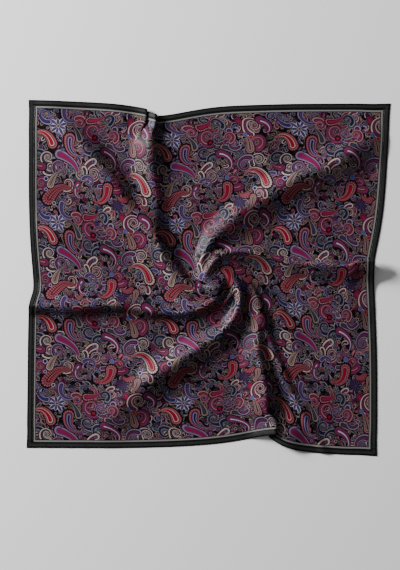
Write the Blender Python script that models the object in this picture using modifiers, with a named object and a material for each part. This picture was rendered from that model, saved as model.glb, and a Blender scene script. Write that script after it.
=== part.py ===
"""Square printed cotton scarf, laid out and twisted a little at its middle.

The cloth is worked out from its flat cut: every point of the square has flat
coordinates (across, up), and place_cloth() says where that point lies once the
scarf is on the table. Four pleats run in from the sides, low ridges lie
between them, and all of them wind round the swirl in the middle.

Metres, +Z up. The origin is on the table, under the middle of the laid scarf.
"""

import math

import bmesh
import bpy
import numpy as np

# The cut
CLOTH_SIDE = 0.700
HALF = CLOTH_SIDE / 2
HEM_WIDTH = 0.012
PANEL_WALL = 0.0011
HEM_WALL = 0.0014
SEAM_GAP = 0.0005
PANEL_HALF = HALF - HEM_WIDTH - SEAM_GAP

# Lines of the grid each side of a pleat's wall, and how far apart they are at the
# wall and at the rim. The wall lies WALL_FROM_CREST beyond the crest.
LINES_EACH_WAY = 25
WALL_STEP = 0.0032
RIM_STEP = 0.0085
WALL_FROM_CREST = 0.013
HEM_ROWS = 2
GRID_ROUNDS = 12

# Where each side's two ends lie on the table, and how far its edge is drawn
# in towards the middle: most at dip_at, half as much one reach further on.
SIDES = {
    "top": {"low_end": -0.3282, "high_end": 0.3318,
            "dip": 0.0255, "dip_at": -0.075, "reach_low": 0.065, "reach_high": 0.100},
    "bottom": {"low_end": -0.3318, "high_end": 0.3100,
               "dip": 0.0340, "dip_at": 0.128, "reach_low": 0.125, "reach_high": 0.036},
    "left": {"low_end": -0.3109, "high_end": 0.3254,
             "dip": 0.0110, "dip_at": -0.020, "reach_low": 0.030, "reach_high": 0.086},
    "right": {"low_end": -0.3254, "high_end": 0.3182,
              "dip": 0.0218, "dip_at": 0.035, "reach_low": 0.200, "reach_high": 0.080},
}

# Pleats, each with its sizes at these shares of the way from the middle to the rim.
# crest is the flat place of the crest line along the side, rise the length of its
# gentle slope, and lean how far the crest hangs over the foot of the steep wall
# (below zero, how far the wall runs out beyond the crest). A pleat leans towards
# the higher places of its side where leans is 1, and the lower ones where it is -1.
STATIONS = (0.0, 0.4, 0.80, 0.94)
PLEATS = (
    {"side": "top", "leans": 1,
     "crest": (0.006, -0.078, -0.106, -0.096), "rise": (0.030, 0.050, 0.030, 0.020),
     "height": (0.002, 0.013, 0.017, 0.012), "lean": (-0.030, -0.018, -0.008, 0.007)},
    {"side": "top", "leans": 1,
     "crest": (-0.134, -0.134, -0.134, -0.134), "rise": (0.022, 0.022, 0.022, 0.022),
     "height": (0.000, 0.000, 0.000, 0.007), "lean": (0.000, 0.000, 0.000, -0.004)},
    {"side": "bottom", "leans": 1,
     "crest": (0.006, 0.056, 0.100, 0.112), "rise": (0.030, 0.035, 0.045, 0.050),
     "height": (0.002, 0.013, 0.017, 0.016), "lean": (-0.030, -0.010, 0.001, 0.012)},
    {"side": "right", "leans": 1,
     "crest": (0.002, 0.000, 0.012, 0.014), "rise": (0.040, 0.032, 0.034, 0.036),
     "height": (0.002, 0.011, 0.018, 0.022), "lean": (-0.020, -0.006, 0.004, 0.010)},
    {"side": "left", "leans": -1,
     "crest": (0.002, -0.030, -0.055, -0.058), "rise": (0.040, 0.045, 0.045, 0.045),
     "height": (0.012, 0.018, 0.020, 0.020), "lean": (-0.020, -0.022, -0.020, -0.016)},
)

# Soft ridges between the pleats: the bearing of the crest round the swirl in
# degrees and its height at these distances from the swirl, and the width of
# the slope to its left (seen from the swirl) and to its right.
RIDGE_RADII = (0.05, 0.12, 0.20, 0.32)
RIDGE_END = 0.46
RIDGES = {
    "north_east": {"bearing": (80, 77, 54.5, 45.5), "height": (0.014, 0.020, 0.013, 0.010),
                   "left_slope": 0.034, "right_slope": 0.046},
    "south_west": {"bearing": (236, 228, 226, 230), "height": (0.012, 0.017, 0.014, 0.005),
                   "left_slope": 0.046, "right_slope": 0.034},
    "north_west": {"bearing": (125, 140, 144, 135), "height": (0.008, 0.008, 0.007, 0.008),
                   "left_slope": 0.060, "right_slope": 0.026},
    "south": {"bearing": (290, 296, 300, 299), "height": (0.000, 0.006, 0.008, 0.012),
              "left_slope": 0.030, "right_slope": 0.018},
}
RIDGE_NARROWING = 0.10
CREST_ROUNDING = 0.02

# The swirl in the middle
SWIRL_X = 0.0136
SWIRL_Y = -0.0036
SWIRL_TURN = math.radians(180)
SWIRL_REACH = 0.055
SWIRL_EYE = 0.010
SWIRL_LIFT = 0.010
SWIRL_LIFT_REACH = 0.110
CROSSING = 0.06

# Brings the middle of the laid scarf's outline over the origin
SHIFT_X = 0.0006
SHIFT_Y = 0.0002

# name: base colour, roughness
COLOURS = {
    "printed_cotton": ((0.060, 0.022, 0.040), 0.62),
    "black_hem": ((0.008, 0.008, 0.009), 0.70),
}


def ease(part):
    """Smooth step from 0 to 1 while part goes from 0 to 1."""
    part = np.clip(part, 0.0, 1.0)
    return part * part * (3 - 2 * part)


def size_along(sizes, share):
    """Size of a pleat at a share of its length, eased between its stations."""
    result = sizes[0] + 0.0 * share
    for i in range(len(STATIONS) - 1):
        span = STATIONS[i + 1] - STATIONS[i]
        result = result + (sizes[i + 1] - sizes[i]) * ease((share - STATIONS[i]) / span)
    return result


def rounded_corner(distance, half_width):
    """0 before the corner, the distance past it after, and a parabola between."""
    half_width = np.maximum(half_width, 1e-9)
    bend = (distance + half_width) ** 2 / (4 * half_width)
    return np.where(distance < -half_width, 0.0, np.where(distance > half_width, distance, bend))


def pleat_section(distance, rise, height, lean):
    """Section through a pleat that leans to the right.

    distance is measured in the flat cloth from the crest. Returns the shift
    to the side, the lift, and how much cloth the pleat takes up.
    """
    out = np.maximum(0.0, -lean)
    back = np.maximum(0.0, lean)
    openness = out / (out + 0.006)
    corners = (
        (-rise, 0.0 * height),
        (0.0 * rise, height),
        (0.12 * height + 0.25 * out, (0.50 + 0.32 * openness) * height),
        (0.75 * out - back, (0.32 - 0.14 * openness) * height),
        (out - back + 0.3 * openness * height, 0.0 * height),
    )
    runs = []
    for (x_from, z_from), (x_to, z_to) in zip(corners[:-1], corners[1:]):
        length = np.hypot(x_to - x_from, z_to - z_from) + 1e-9
        runs.append((length, (x_to - x_from) / length, (z_to - z_from) / length))
    beyond = 0.02 + 0.0 * height
    runs.append((beyond, 1.0 + 0.0 * height, 0.0 * height))

    place = -runs[0][0]
    x = corners[0][0] + (distance - place)
    z = 0.0 * distance
    length_before, x_before, z_before = beyond, 1.0, 0.0
    for length, x_run, z_run in runs:
        bend = rounded_corner(distance - place, 0.5 * np.minimum(length_before, length))
        x = x + (x_run - x_before) * bend
        z = z + (z_run - z_before) * bend
        length_before, x_before, z_before = length, x_run, z_run
        place = place + length
    shift_left = corners[0][0] + runs[0][0]
    shift_right = corners[-1][0] + beyond - place
    return x - distance - 0.5 * (shift_left + shift_right), z, shift_left - shift_right


def side_pleats(side, place, inward):
    """Shift, lift and cloth taken up by the pleats of a side.

    place runs along the side, and inward from the middle (0) to the rim (HALF).
    """
    share = np.clip(inward / HALF, 0.0, 1.0)
    shift = 0.0 * place
    lift = 0.0 * place
    taken = 0.0 * place
    for row in PLEATS:
        if row["side"] != side:
            continue
        distance = row["leans"] * (place - size_along(row["crest"], share))
        sizes = [size_along(row[name], share) for name in ("rise", "height", "lean")]
        one_shift, one_lift, one_taken = pleat_section(distance, *sizes)
        shift = shift + row["leans"] * one_shift
        lift = lift + one_lift
        taken = taken + one_taken
    return shift, lift, taken


def fit_side(side, taken):
    """Scale and offset that bring a side's two ends to their places on the table."""
    row = SIDES[side]
    scale = 0.5 * (row["high_end"] - row["low_end"] + taken) / HALF
    return scale, 0.5 * (row["high_end"] + row["low_end"])


def side_dip(side, place):
    """How far the edge of a side is drawn in at a place along it."""
    row = SIDES[side]
    distance = place - row["dip_at"]
    reach = np.where(distance < 0, row["reach_low"], row["reach_high"])
    return row["dip"] / (1 + (distance / reach) ** 2)


def ridge_lift(x, y):
    """Lift of the soft ridges and of the swirl, before the cloth is twisted."""
    x = x - SWIRL_X
    y = y - SWIRL_Y
    radius = np.hypot(x, y)
    bearing = np.arctan2(y, x)
    lift = SWIRL_LIFT * (1 - np.clip(radius / SWIRL_LIFT_REACH, 0, 1) ** 2) ** 2
    sharpness = math.sqrt(1 + CREST_ROUNDING) - math.sqrt(CREST_ROUNDING)
    for row in RIDGES.values():
        turn = bearing - np.radians(np.interp(radius, RIDGE_RADII, row["bearing"]))
        aside = radius * np.sin(turn)
        heights = (0.0, *row["height"], 0.0)
        height = np.interp(radius, (0.0, *RIDGE_RADII, RIDGE_END), heights) * (np.cos(turn) > 0)
        width = np.where(aside > 0, row["left_slope"], row["right_slope"])
        width = width * np.clip(radius / RIDGE_NARROWING, 0.35, 1.0)
        share = np.clip(np.abs(aside) / width, 0.0, 1.0)
        tent = 1 - (np.sqrt(share ** 2 + CREST_ROUNDING) - math.sqrt(CREST_ROUNDING)) / sharpness
        lift = lift + height * (0.5 * tent ** 2 + 0.5 * (1 - share ** 2) ** 2)
    return lift


def swirl(x, y):
    """Turn of the cloth round the middle, most at the eye."""
    x = x - SWIRL_X
    y = y - SWIRL_Y
    turn = SWIRL_TURN * np.exp(-np.hypot(np.hypot(x, y), SWIRL_EYE) / SWIRL_REACH)
    return (SWIRL_X + x * np.cos(turn) - y * np.sin(turn),
            SWIRL_Y + x * np.sin(turn) + y * np.cos(turn))


def place_cloth(across, up):
    """Where points of the flat cloth lie: x, y and lift above the flat cloth."""
    top_part = ease((up + CROSSING) / (2 * CROSSING))
    right_part = ease((across + CROSSING) / (2 * CROSSING))
    places = {
        "top": (across, up, (up + HALF) / CLOTH_SIDE, top_part),
        "bottom": (across, -up, (HALF - up) / CLOTH_SIDE, 1 - top_part),
        "right": (up, across, (across + HALF) / CLOTH_SIDE, right_part),
        "left": (up, -across, (HALF - across) / CLOTH_SIDE, 1 - right_part),
    }
    spot = {"across": 0.0 * across, "up": 0.0 * up}
    lift = 0.0 * across
    for side, (place, inward, nearness, part) in places.items():
        axis, other = ("across", "up") if side in ("top", "bottom") else ("up", "across")
        shift, one_lift, taken = side_pleats(side, place, inward)
        scale, offset = fit_side(side, taken)
        spot[axis] = spot[axis] + (place * scale + offset) * nearness + shift * part
        drawn_in = side_dip(side, place) * ease(inward / HALF)
        spot[other] = spot[other] - drawn_in * (1 if side in ("top", "right") else -1)
        lift = lift + one_lift * part
    lift = lift + ridge_lift(spot["across"], spot["up"])
    x, y = swirl(spot["across"], spot["up"])
    return x + SHIFT_X, y + SHIFT_Y, lift


def wall_line(side, inward):
    """Flat place of the main pleat's wall on a side, from the middle to the rim."""
    row = next(row for row in PLEATS if row["side"] == side)
    share = np.clip(inward / HALF, 0.0, 1.0)
    return size_along(row["crest"], share) + row["leans"] * WALL_FROM_CREST * ease(share / STATIONS[1])


def grid_lines(low_side, high_side, along):
    """Grid places from one edge of the panel to the other, crowded at the pleats' walls."""
    wall = np.where(along < 0, wall_line(low_side, -along), wall_line(high_side, along))[..., None]
    step = np.arange(-LINES_EACH_WAY, LINES_EACH_WAY + 1)
    share = np.abs(step) / LINES_EACH_WAY
    reach = np.where(step < 0, PANEL_HALF + wall, PANEL_HALF - wall)
    at_wall = WALL_STEP * LINES_EACH_WAY / reach
    at_rim = RIM_STEP * LINES_EACH_WAY / reach
    curve = (at_wall + at_rim - 2) * share ** 3 + (3 - 2 * at_wall - at_rim) * share ** 2 + at_wall * share
    return wall + np.sign(step) * reach * curve


def panel_places():
    """Flat coordinates of the panel's grid, one row of the array for each line up it."""
    count = 2 * LINES_EACH_WAY + 1
    start = np.linspace(-PANEL_HALF, PANEL_HALF, count)
    across, up = np.meshgrid(start, start)
    row, column = np.indices(across.shape)
    for _ in range(GRID_ROUNDS):
        across = np.take_along_axis(grid_lines("bottom", "top", up), column[..., None], axis=2)[..., 0]
        up = np.take_along_axis(grid_lines("left", "right", across), row[..., None], axis=2)[..., 0]
    return across, up


def hem_places(side):
    """Flat coordinates of a hem strip, one row of the array for each line up it."""
    level = side in ("top", "bottom")
    outward = 1 if side in ("top", "right") else -1
    low_side, high_side = ("bottom", "top") if level else ("left", "right")
    along = grid_lines(low_side, high_side, np.array(outward * PANEL_HALF))
    if level:
        along = np.concatenate(([-HALF], along, [HALF]))
    across_hem = outward * np.linspace(HALF - HEM_WIDTH, HALF, HEM_ROWS + 1)
    if level:
        return np.meshgrid(along, across_hem)
    across, up = np.meshgrid(across_hem, along)
    return across, up


def make_material(name):
    colour, roughness = COLOURS[name]
    material = bpy.data.materials.new(name)
    material.use_nodes = True
    shader = material.node_tree.nodes["Principled BSDF"]
    shader.inputs["Base Color"].default_value = (*colour, 1.0)
    shader.inputs["Roughness"].default_value = roughness
    shader.inputs["Metallic"].default_value = 0.0
    material.diffuse_color = (*colour, 1.0)
    return material


def make_cloth(name, across, up, wall, material, collection):
    """Laid cloth wall over a grid of flat coordinates, with its underside on the table."""
    rows, columns = across.shape
    mesh = bpy.data.meshes.new(name)
    grid = bmesh.new()
    bmesh.ops.create_grid(grid, x_segments=columns - 1, y_segments=rows - 1, size=1.0)
    corners = sorted(grid.verts, key=lambda vert: (round(vert.co.y, 6), round(vert.co.x, 6)))
    x, y, lift = place_cloth(across.ravel(), up.ravel())
    for vert, spot in zip(corners, zip(x, y, lift + wall / 2)):
        vert.co = spot
    bmesh.ops.recalc_face_normals(grid, faces=grid.faces)
    if sum(face.normal.z for face in grid.faces) < 0:
        bmesh.ops.reverse_faces(grid, faces=grid.faces)
    bmesh.ops.triangulate(grid, faces=grid.faces, quad_method="SHORT_EDGE")
    grid.to_mesh(mesh)
    grid.free()
    mesh.shade_smooth()
    mesh.materials.append(material)
    obj = bpy.data.objects.new(name, mesh)
    collection.objects.link(obj)
    solidify = obj.modifiers.new("wall", "SOLIDIFY")
    solidify.thickness = wall
    solidify.offset = 0.0
    return obj


def build_scarf():
    for obj in list(bpy.data.objects):
        bpy.data.objects.remove(obj, do_unlink=True)
    collection = bpy.data.collections.new("cotton_scarf")
    bpy.context.scene.collection.children.link(collection)
    printed = make_material("printed_cotton")
    black = make_material("black_hem")
    make_cloth("scarf_panel", *panel_places(), PANEL_WALL, printed, collection)
    for side in SIDES:
        make_cloth(f"hem_{side}", *hem_places(side), HEM_WALL, black, collection)


build_scarf()
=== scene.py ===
"""The looks of a square scarf of printed cotton, laid out and twisted a little at its middle.

The cloth is worked out from its flat cut. A point of the cut has flat places (across,
up) in metres from the middle of the square, and LaidCloth says where it lies on the
table. The print is charted in millimetres from the cut's top left corner, and repeats.
"""

from __future__ import annotations

import logging
import math
from dataclasses import dataclass, field
from enum import Enum
from typing import Sequence

import bmesh
import bpy
import numpy as np
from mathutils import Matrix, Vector

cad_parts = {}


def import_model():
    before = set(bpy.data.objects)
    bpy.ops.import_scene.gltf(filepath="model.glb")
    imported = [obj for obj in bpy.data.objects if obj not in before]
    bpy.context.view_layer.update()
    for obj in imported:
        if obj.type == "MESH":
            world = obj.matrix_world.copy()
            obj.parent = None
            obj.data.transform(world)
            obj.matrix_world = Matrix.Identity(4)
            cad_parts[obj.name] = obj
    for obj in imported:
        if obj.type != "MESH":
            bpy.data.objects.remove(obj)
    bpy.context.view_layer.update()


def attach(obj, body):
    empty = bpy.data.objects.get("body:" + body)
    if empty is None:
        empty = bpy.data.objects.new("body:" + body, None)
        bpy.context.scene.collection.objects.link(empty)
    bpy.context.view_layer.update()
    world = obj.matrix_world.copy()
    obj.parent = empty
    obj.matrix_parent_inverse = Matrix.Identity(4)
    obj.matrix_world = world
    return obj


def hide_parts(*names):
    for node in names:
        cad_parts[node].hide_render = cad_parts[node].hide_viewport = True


LOG = logging.getLogger("scarf")

CLOTH_SIDE = 0.700
HALF = CLOTH_SIDE / 2
HEM_WIDTH = 0.012
MM = 0.001
TAU = 2 * math.pi
CUT_PLACE = "cut_place"
BAKE_MAP = "OFBake"

# Screen values in the picture, and the light that gives each, read off a test picture of plain cards
SCREEN_VALUES = (0, 3, 9, 18, 32, 58, 86, 118, 146, 170, 183)
LIGHT_VALUES = (0.0, 0.002, 0.005, 0.01, 0.02, 0.05, 0.1, 0.18, 0.3, 0.5, 0.7)
TABLE_LIGHT = 2.55

PHOTO_WIDTH = 400
PHOTO_HEIGHT = 570
PHOTO_SCALE = CLOTH_SIDE / 385
PHOTO_ORIGIN = (208.5, 278.0)


def ease(part: np.ndarray) -> np.ndarray:
    """Smooth step from 0 to 1 while part goes from 0 to 1."""
    part = np.clip(part, 0.0, 1.0)
    return part * part * (3 - 2 * part)


class Side(Enum):
    """The four sides of the square."""

    TOP = "top"
    BOTTOM = "bottom"
    LEFT = "left"
    RIGHT = "right"

    @property
    def level(self) -> bool:
        """Whether the side runs across the photo."""
        return self in (Side.TOP, Side.BOTTOM)

    @property
    def outward(self) -> int:
        """1 where the side faces up or to the right, -1 where it faces down or to the left."""
        return 1 if self in (Side.TOP, Side.RIGHT) else -1


@dataclass(frozen=True)
class Edge:
    """Where a side's two ends lie on the table, and how far it is drawn in between them.

    The edge is drawn in most at dip_at, and half as much one reach further on.
    """

    low_end: float
    high_end: float
    dip: float
    dip_at: float
    reach_low: float
    reach_high: float

    def drawn_in(self, place: np.ndarray) -> np.ndarray:
        """How far the edge is drawn in at a place along it."""
        distance = place - self.dip_at
        reach = np.where(distance < 0, self.reach_low, self.reach_high)
        return self.dip / (1 + (distance / reach) ** 2)

    def fit(self, taken: np.ndarray) -> tuple[np.ndarray, float]:
        """Scale and offset that bring the two ends to their places on the table.

        Args:
            taken: the cloth that the side's pleats take up.

        Returns:
            The scale of places along the side, and the offset that goes with it.
        """
        scale = 0.5 * (self.high_end - self.low_end + taken) / HALF
        return scale, 0.5 * (self.high_end + self.low_end)


@dataclass(frozen=True)
class Pleat:
    """A pleat that runs in from a side, with its sizes at four shares of its length.

    crest is the flat place of the crest line along the side, rise the length of the
    gentle slope, and lean how far the crest hangs over the foot of the steep wall
    (below zero, how far the wall runs out beyond the crest).
    """

    side: Side
    leans: int
    crest: tuple[float, float, float, float]
    rise: tuple[float, float, float, float]
    height: tuple[float, float, float, float]
    lean: tuple[float, float, float, float]

    STATIONS = (0.0, 0.4, 0.80, 0.94)
    BEYOND = 0.02
    SOFTNESS = 0.006

    def size_along(self, sizes: Sequence[float], share: np.ndarray) -> np.ndarray:
        """Size at a share of the way from the middle to the rim, eased between stations."""
        result = sizes[0] + 0.0 * share
        for i in range(len(self.STATIONS) - 1):
            span = self.STATIONS[i + 1] - self.STATIONS[i]
            result = result + (sizes[i + 1] - sizes[i]) * ease((share - self.STATIONS[i]) / span)
        return result

    @staticmethod
    def rounded_corner(distance: np.ndarray, half_width: np.ndarray) -> np.ndarray:
        """0 before the corner, the distance past it after, and a parabola between."""
        half_width = np.maximum(half_width, 1e-9)
        bend = (distance + half_width) ** 2 / (4 * half_width)
        return np.where(distance < -half_width, 0.0, np.where(distance > half_width, distance, bend))

    def section(self, distance: np.ndarray, share: np.ndarray) -> tuple[np.ndarray, ...]:
        """Section through the pleat, drawn as if it leant to the right.

        Its corners are the foot of the gentle slope, the crest, the wall's shoulder, its
        hollow and its foot. Each is rounded by half the shorter run beside it.

        Args:
            distance: flat distance from the crest.
            share: the share of the way from the middle to the rim.

        Returns:
            The shift to the side, the lift, and how much cloth the pleat takes up.
        """
        rise = self.size_along(self.rise, share)
        height = self.size_along(self.height, share)
        lean = self.size_along(self.lean, share)
        out = np.maximum(0.0, -lean)
        back = np.maximum(0.0, lean)
        openness = out / (out + self.SOFTNESS)
        corners = (
            (-rise, 0.0 * height),
            (0.0 * rise, height),
            (0.12 * height + 0.25 * out, (0.50 + 0.32 * openness) * height),
            (0.75 * out - back, (0.32 - 0.14 * openness) * height),
            (out - back + 0.3 * openness * height, 0.0 * height),
        )
        runs = []
        for (x_from, z_from), (x_to, z_to) in zip(corners[:-1], corners[1:]):
            length = np.hypot(x_to - x_from, z_to - z_from) + 1e-9
            runs.append((length, (x_to - x_from) / length, (z_to - z_from) / length))
        beyond = self.BEYOND + 0.0 * height
        runs.append((beyond, 1.0 + 0.0 * height, 0.0 * height))

        place = -runs[0][0]
        x = corners[0][0] + (distance - place)
        z = 0.0 * distance
        length_before, x_before, z_before = beyond, 1.0, 0.0
        for length, x_run, z_run in runs:
            bend = self.rounded_corner(distance - place, 0.5 * np.minimum(length_before, length))
            x = x + (x_run - x_before) * bend
            z = z + (z_run - z_before) * bend
            length_before, x_before, z_before = length, x_run, z_run
            place = place + length
        shift_left = corners[0][0] + runs[0][0]
        shift_right = corners[-1][0] + beyond - place
        return x - distance - 0.5 * (shift_left + shift_right), z, shift_left - shift_right

    def at(self, place: np.ndarray, inward: np.ndarray) -> tuple[np.ndarray, ...]:
        """Shift along the side, lift and cloth taken up at flat places.

        Args:
            place: flat places along the side.
            inward: flat places from the middle (0) to the rim (HALF).
        """
        share = np.clip(inward / HALF, 0.0, 1.0)
        distance = self.leans * (place - self.size_along(self.crest, share))
        shift, lift, taken = self.section(distance, share)
        return self.leans * shift, lift, taken


@dataclass(frozen=True)
class Ridge:
    """A soft ridge that winds out from the swirl to its end, with its sizes at four distances."""

    bearing: tuple[float, float, float, float]
    height: tuple[float, float, float, float]
    left_slope: float
    right_slope: float
    end: float = 0.46

    RADII = (0.05, 0.12, 0.20, 0.32)
    NARROWING = 0.10
    NARROWEST = 0.35
    ROUNDING = 0.02
    TENT_SHARE = 0.5

    def lift(self, radius: np.ndarray, bearing: np.ndarray) -> np.ndarray:
        """Lift of the cloth at a distance and bearing (in radians) from the swirl."""
        turn = bearing - np.radians(np.interp(radius, self.RADII, self.bearing))
        aside = radius * np.sin(turn)
        heights = (0.0, *self.height, 0.0)
        height = np.interp(radius, (0.0, *self.RADII, self.end), heights) * (np.cos(turn) > 0)
        width = np.where(aside > 0, self.left_slope, self.right_slope)
        width = width * np.clip(radius / self.NARROWING, self.NARROWEST, 1.0)
        share = np.clip(np.abs(aside) / width, 0.0, 1.0)
        sharpness = math.sqrt(1 + self.ROUNDING) - math.sqrt(self.ROUNDING)
        tent = 1 - (np.sqrt(share ** 2 + self.ROUNDING) - math.sqrt(self.ROUNDING)) / sharpness
        return height * (self.TENT_SHARE * tent ** 2 + (1 - self.TENT_SHARE) * (1 - share ** 2) ** 2)


@dataclass(frozen=True)
class Swirl:
    """The twist in the middle of the cloth."""

    x: float = 0.0136
    y: float = -0.0036
    turn: float = math.radians(180)
    reach: float = 0.055
    eye: float = 0.010
    lift: float = 0.010
    lift_reach: float = 0.110
    print_turn: float = math.radians(95)
    print_reach: float = 0.022
    print_rest: tuple[float, float] = (0.13, 0.26)

    def polar(self, x: np.ndarray, y: np.ndarray) -> tuple[np.ndarray, np.ndarray]:
        """Distance and bearing of a point from the eye of the swirl."""
        return np.hypot(x - self.x, y - self.y), np.arctan2(y - self.y, x - self.x)

    def slide(self, x: np.ndarray, y: np.ndarray) -> tuple[np.ndarray, np.ndarray]:
        """How far the print slides back round the eye, so that it is twisted less than the folds."""
        x = x - self.x
        y = y - self.y
        radius = np.hypot(np.hypot(x, y), self.eye)
        turn = self.turn * np.exp(-radius / self.reach) - self.print_turn * np.exp(-radius / self.print_reach)
        near, far = self.print_rest
        turn = turn * (1 - ease((radius - near) / (far - near)))
        return (x * np.cos(turn) - y * np.sin(turn) - x,
                x * np.sin(turn) + y * np.cos(turn) - y)

    def dome(self, radius: np.ndarray) -> np.ndarray:
        """Lift of the low dome that the twist pushes up."""
        return self.lift * (1 - np.clip(radius / self.lift_reach, 0, 1) ** 2) ** 2

    def twist(self, x: np.ndarray, y: np.ndarray) -> tuple[np.ndarray, np.ndarray]:
        """Turns the cloth round the eye, most in the middle."""
        x = x - self.x
        y = y - self.y
        turn = self.turn * np.exp(-np.hypot(np.hypot(x, y), self.eye) / self.reach)
        return (self.x + x * np.cos(turn) - y * np.sin(turn),
                self.y + x * np.sin(turn) + y * np.cos(turn))


@dataclass(frozen=True)
class Crease:
    """A small soft ridge or trough, straight in the cut, that fades at both ends."""

    start: tuple[float, float]
    end: tuple[float, float]
    width: float
    height: float

    def lift(self, across: np.ndarray, up: np.ndarray) -> np.ndarray:
        """Lift of the cloth at flat places; below zero where the crease is a trough."""
        run_across = self.end[0] - self.start[0]
        run_up = self.end[1] - self.start[1]
        length = math.hypot(run_across, run_up)
        along = ((across - self.start[0]) * run_across + (up - self.start[1]) * run_up) / length ** 2
        aside = ((up - self.start[1]) * run_across - (across - self.start[0]) * run_up) / length
        fade = np.clip(4 * along * (1 - along), 0.0, 1.0)
        return self.height * ease(fade) * np.exp(-(aside / self.width) ** 2)


@dataclass(frozen=True)
class LaidCloth:
    """Where the cloth lies on the table, with all its folds."""

    edges: dict[Side, Edge] = field(default_factory=lambda: {
        Side.TOP: Edge(-0.3282, 0.3318, 0.0255, -0.075, 0.065, 0.100),
        Side.BOTTOM: Edge(-0.3318, 0.3100, 0.0340, 0.128, 0.125, 0.036),
        Side.LEFT: Edge(-0.3109, 0.3254, 0.0110, -0.020, 0.030, 0.086),
        Side.RIGHT: Edge(-0.3254, 0.3182, 0.0218, 0.035, 0.200, 0.080),
    })
    pleats: tuple[Pleat, ...] = (
        Pleat(Side.TOP, 1, crest=(0.006, -0.078, -0.106, -0.096), rise=(0.030, 0.050, 0.040, 0.020),
              height=(0.002, 0.008, 0.020, 0.012), lean=(-0.030, -0.034, -0.036, 0.007)),
        Pleat(Side.TOP, 1, crest=(-0.134,) * 4, rise=(0.022,) * 4,
              height=(0.0, 0.0, 0.0, 0.007), lean=(0.0, 0.0, 0.0, 0.005)),
        Pleat(Side.BOTTOM, 1, crest=(0.006, 0.066, 0.110, 0.114), rise=(0.030, 0.040, 0.050, 0.050),
              height=(0.001, 0.012, 0.019, 0.016), lean=(-0.030, -0.028, -0.020, 0.012)),
        Pleat(Side.RIGHT, 1, crest=(0.002, -0.012, 0.010, 0.014), rise=(0.040, 0.032, 0.034, 0.036),
              height=(0.007, 0.018, 0.019, 0.022), lean=(-0.024, -0.018, -0.010, 0.010)),
        Pleat(Side.LEFT, -1, crest=(0.002, -0.030, -0.055, -0.058), rise=(0.040, 0.045, 0.045, 0.045),
              height=(0.012, 0.019, 0.021, 0.020), lean=(-0.020, -0.024, -0.024, -0.018)),
    )
    ridges: tuple[Ridge, ...] = (
        Ridge((47, 53, 51, 43), (0.011, 0.017, 0.017, 0.018), 0.042, 0.056, 0.41),
        Ridge((256, 238, 233, 232), (0.012, 0.018, 0.019, 0.008), 0.058, 0.040, 0.37),
        Ridge((118, 128, 136, 134.5), (0.010, 0.014, 0.016, 0.019), 0.072, 0.036),
        Ridge((294, 298, 301.5, 302), (0.000, 0.005, 0.006, 0.004), 0.014, 0.013),
    )
    creases: tuple[Crease, ...] = (
        Crease((-0.235, -0.300), (-0.120, -0.100), 0.030, 0.005),
        Crease((0.035, 0.030), (0.150, -0.020), 0.012, 0.004),
        Crease((-0.075, 0.115), (-0.020, 0.020), 0.011, 0.005),
        Crease((0.040, -0.060), (0.205, -0.175), 0.018, 0.004),
        Crease((0.190, -0.030), (0.345, -0.110), 0.026, 0.005),
        Crease((0.090, 0.330), (0.160, 0.170), 0.024, 0.005),
        Crease((-0.345, 0.120), (-0.150, 0.060), 0.026, 0.005),
        Crease((0.172, -0.400), (0.180, -0.280), 0.034, 0.009),
        Crease((0.290, 0.002), (0.410, -0.024), 0.024, 0.008),
        Crease((-0.200, 0.400), (-0.190, 0.290), 0.040, 0.004),
        Crease((0.020, 0.035), (0.060, -0.015), 0.007, 0.004),
        Crease((-0.030, -0.030), (0.012, -0.046), 0.007, 0.004),
    )
    swirl: Swirl = Swirl()
    crossing: float = 0.06
    shift: tuple[float, float] = (0.0006, 0.0002)
    wall_from_crest: float = 0.013

    def place(self, across: np.ndarray, up: np.ndarray) -> np.ndarray:
        """Places on the table of flat places, as an array with one more axis for x, y and z."""
        spot, lift = self.before_twist(across, up)
        x, y = self.swirl.twist(*spot)
        return np.stack([x + self.shift[0], y + self.shift[1], np.maximum(lift, 0.0)], axis=-1)

    def printed_place(self, across: np.ndarray, up: np.ndarray) -> tuple[np.ndarray, np.ndarray]:
        """Places on the cut whose print shows at flat places of the grid."""
        spot, _ = self.before_twist(across, up)
        slide_across, slide_up = self.swirl.slide(*spot)
        return across + slide_across, up + slide_up

    def before_twist(self, across: np.ndarray, up: np.ndarray) -> tuple[list[np.ndarray], np.ndarray]:
        """Places and lift of the cloth before its middle is twisted.

        Args:
            across: flat places from left to right, any shape.
            up: flat places from bottom to top, the same shape.

        Returns:
            The x and y of each place, and its lift, in the same shape.
        """
        top_part = ease((up + self.crossing) / (2 * self.crossing))
        right_part = ease((across + self.crossing) / (2 * self.crossing))
        places = {
            Side.TOP: (across, up, (up + HALF) / CLOTH_SIDE, top_part),
            Side.BOTTOM: (across, -up, (HALF - up) / CLOTH_SIDE, 1 - top_part),
            Side.RIGHT: (up, across, (across + HALF) / CLOTH_SIDE, right_part),
            Side.LEFT: (up, -across, (HALF - across) / CLOTH_SIDE, 1 - right_part),
        }
        spot = [0.0 * across, 0.0 * up]
        lift = 0.0 * across
        for side, (place, inward, nearness, part) in places.items():
            axis = 0 if side.level else 1
            shift, one_lift, taken = self.side_pleats(side, place, inward)
            scale, offset = self.edges[side].fit(taken)
            spot[axis] = spot[axis] + (place * scale + offset) * nearness + shift * part
            drawn_in = self.edges[side].drawn_in(place) * ease(inward / HALF)
            spot[1 - axis] = spot[1 - axis] - drawn_in * side.outward
            lift = lift + one_lift * part
        radius, bearing = self.swirl.polar(*spot)
        lift = lift + self.swirl.dome(radius)
        for ridge in self.ridges:
            lift = lift + ridge.lift(radius, bearing)
        for crease in self.creases:
            lift = lift + crease.lift(across, up)
        return spot, lift

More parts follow.
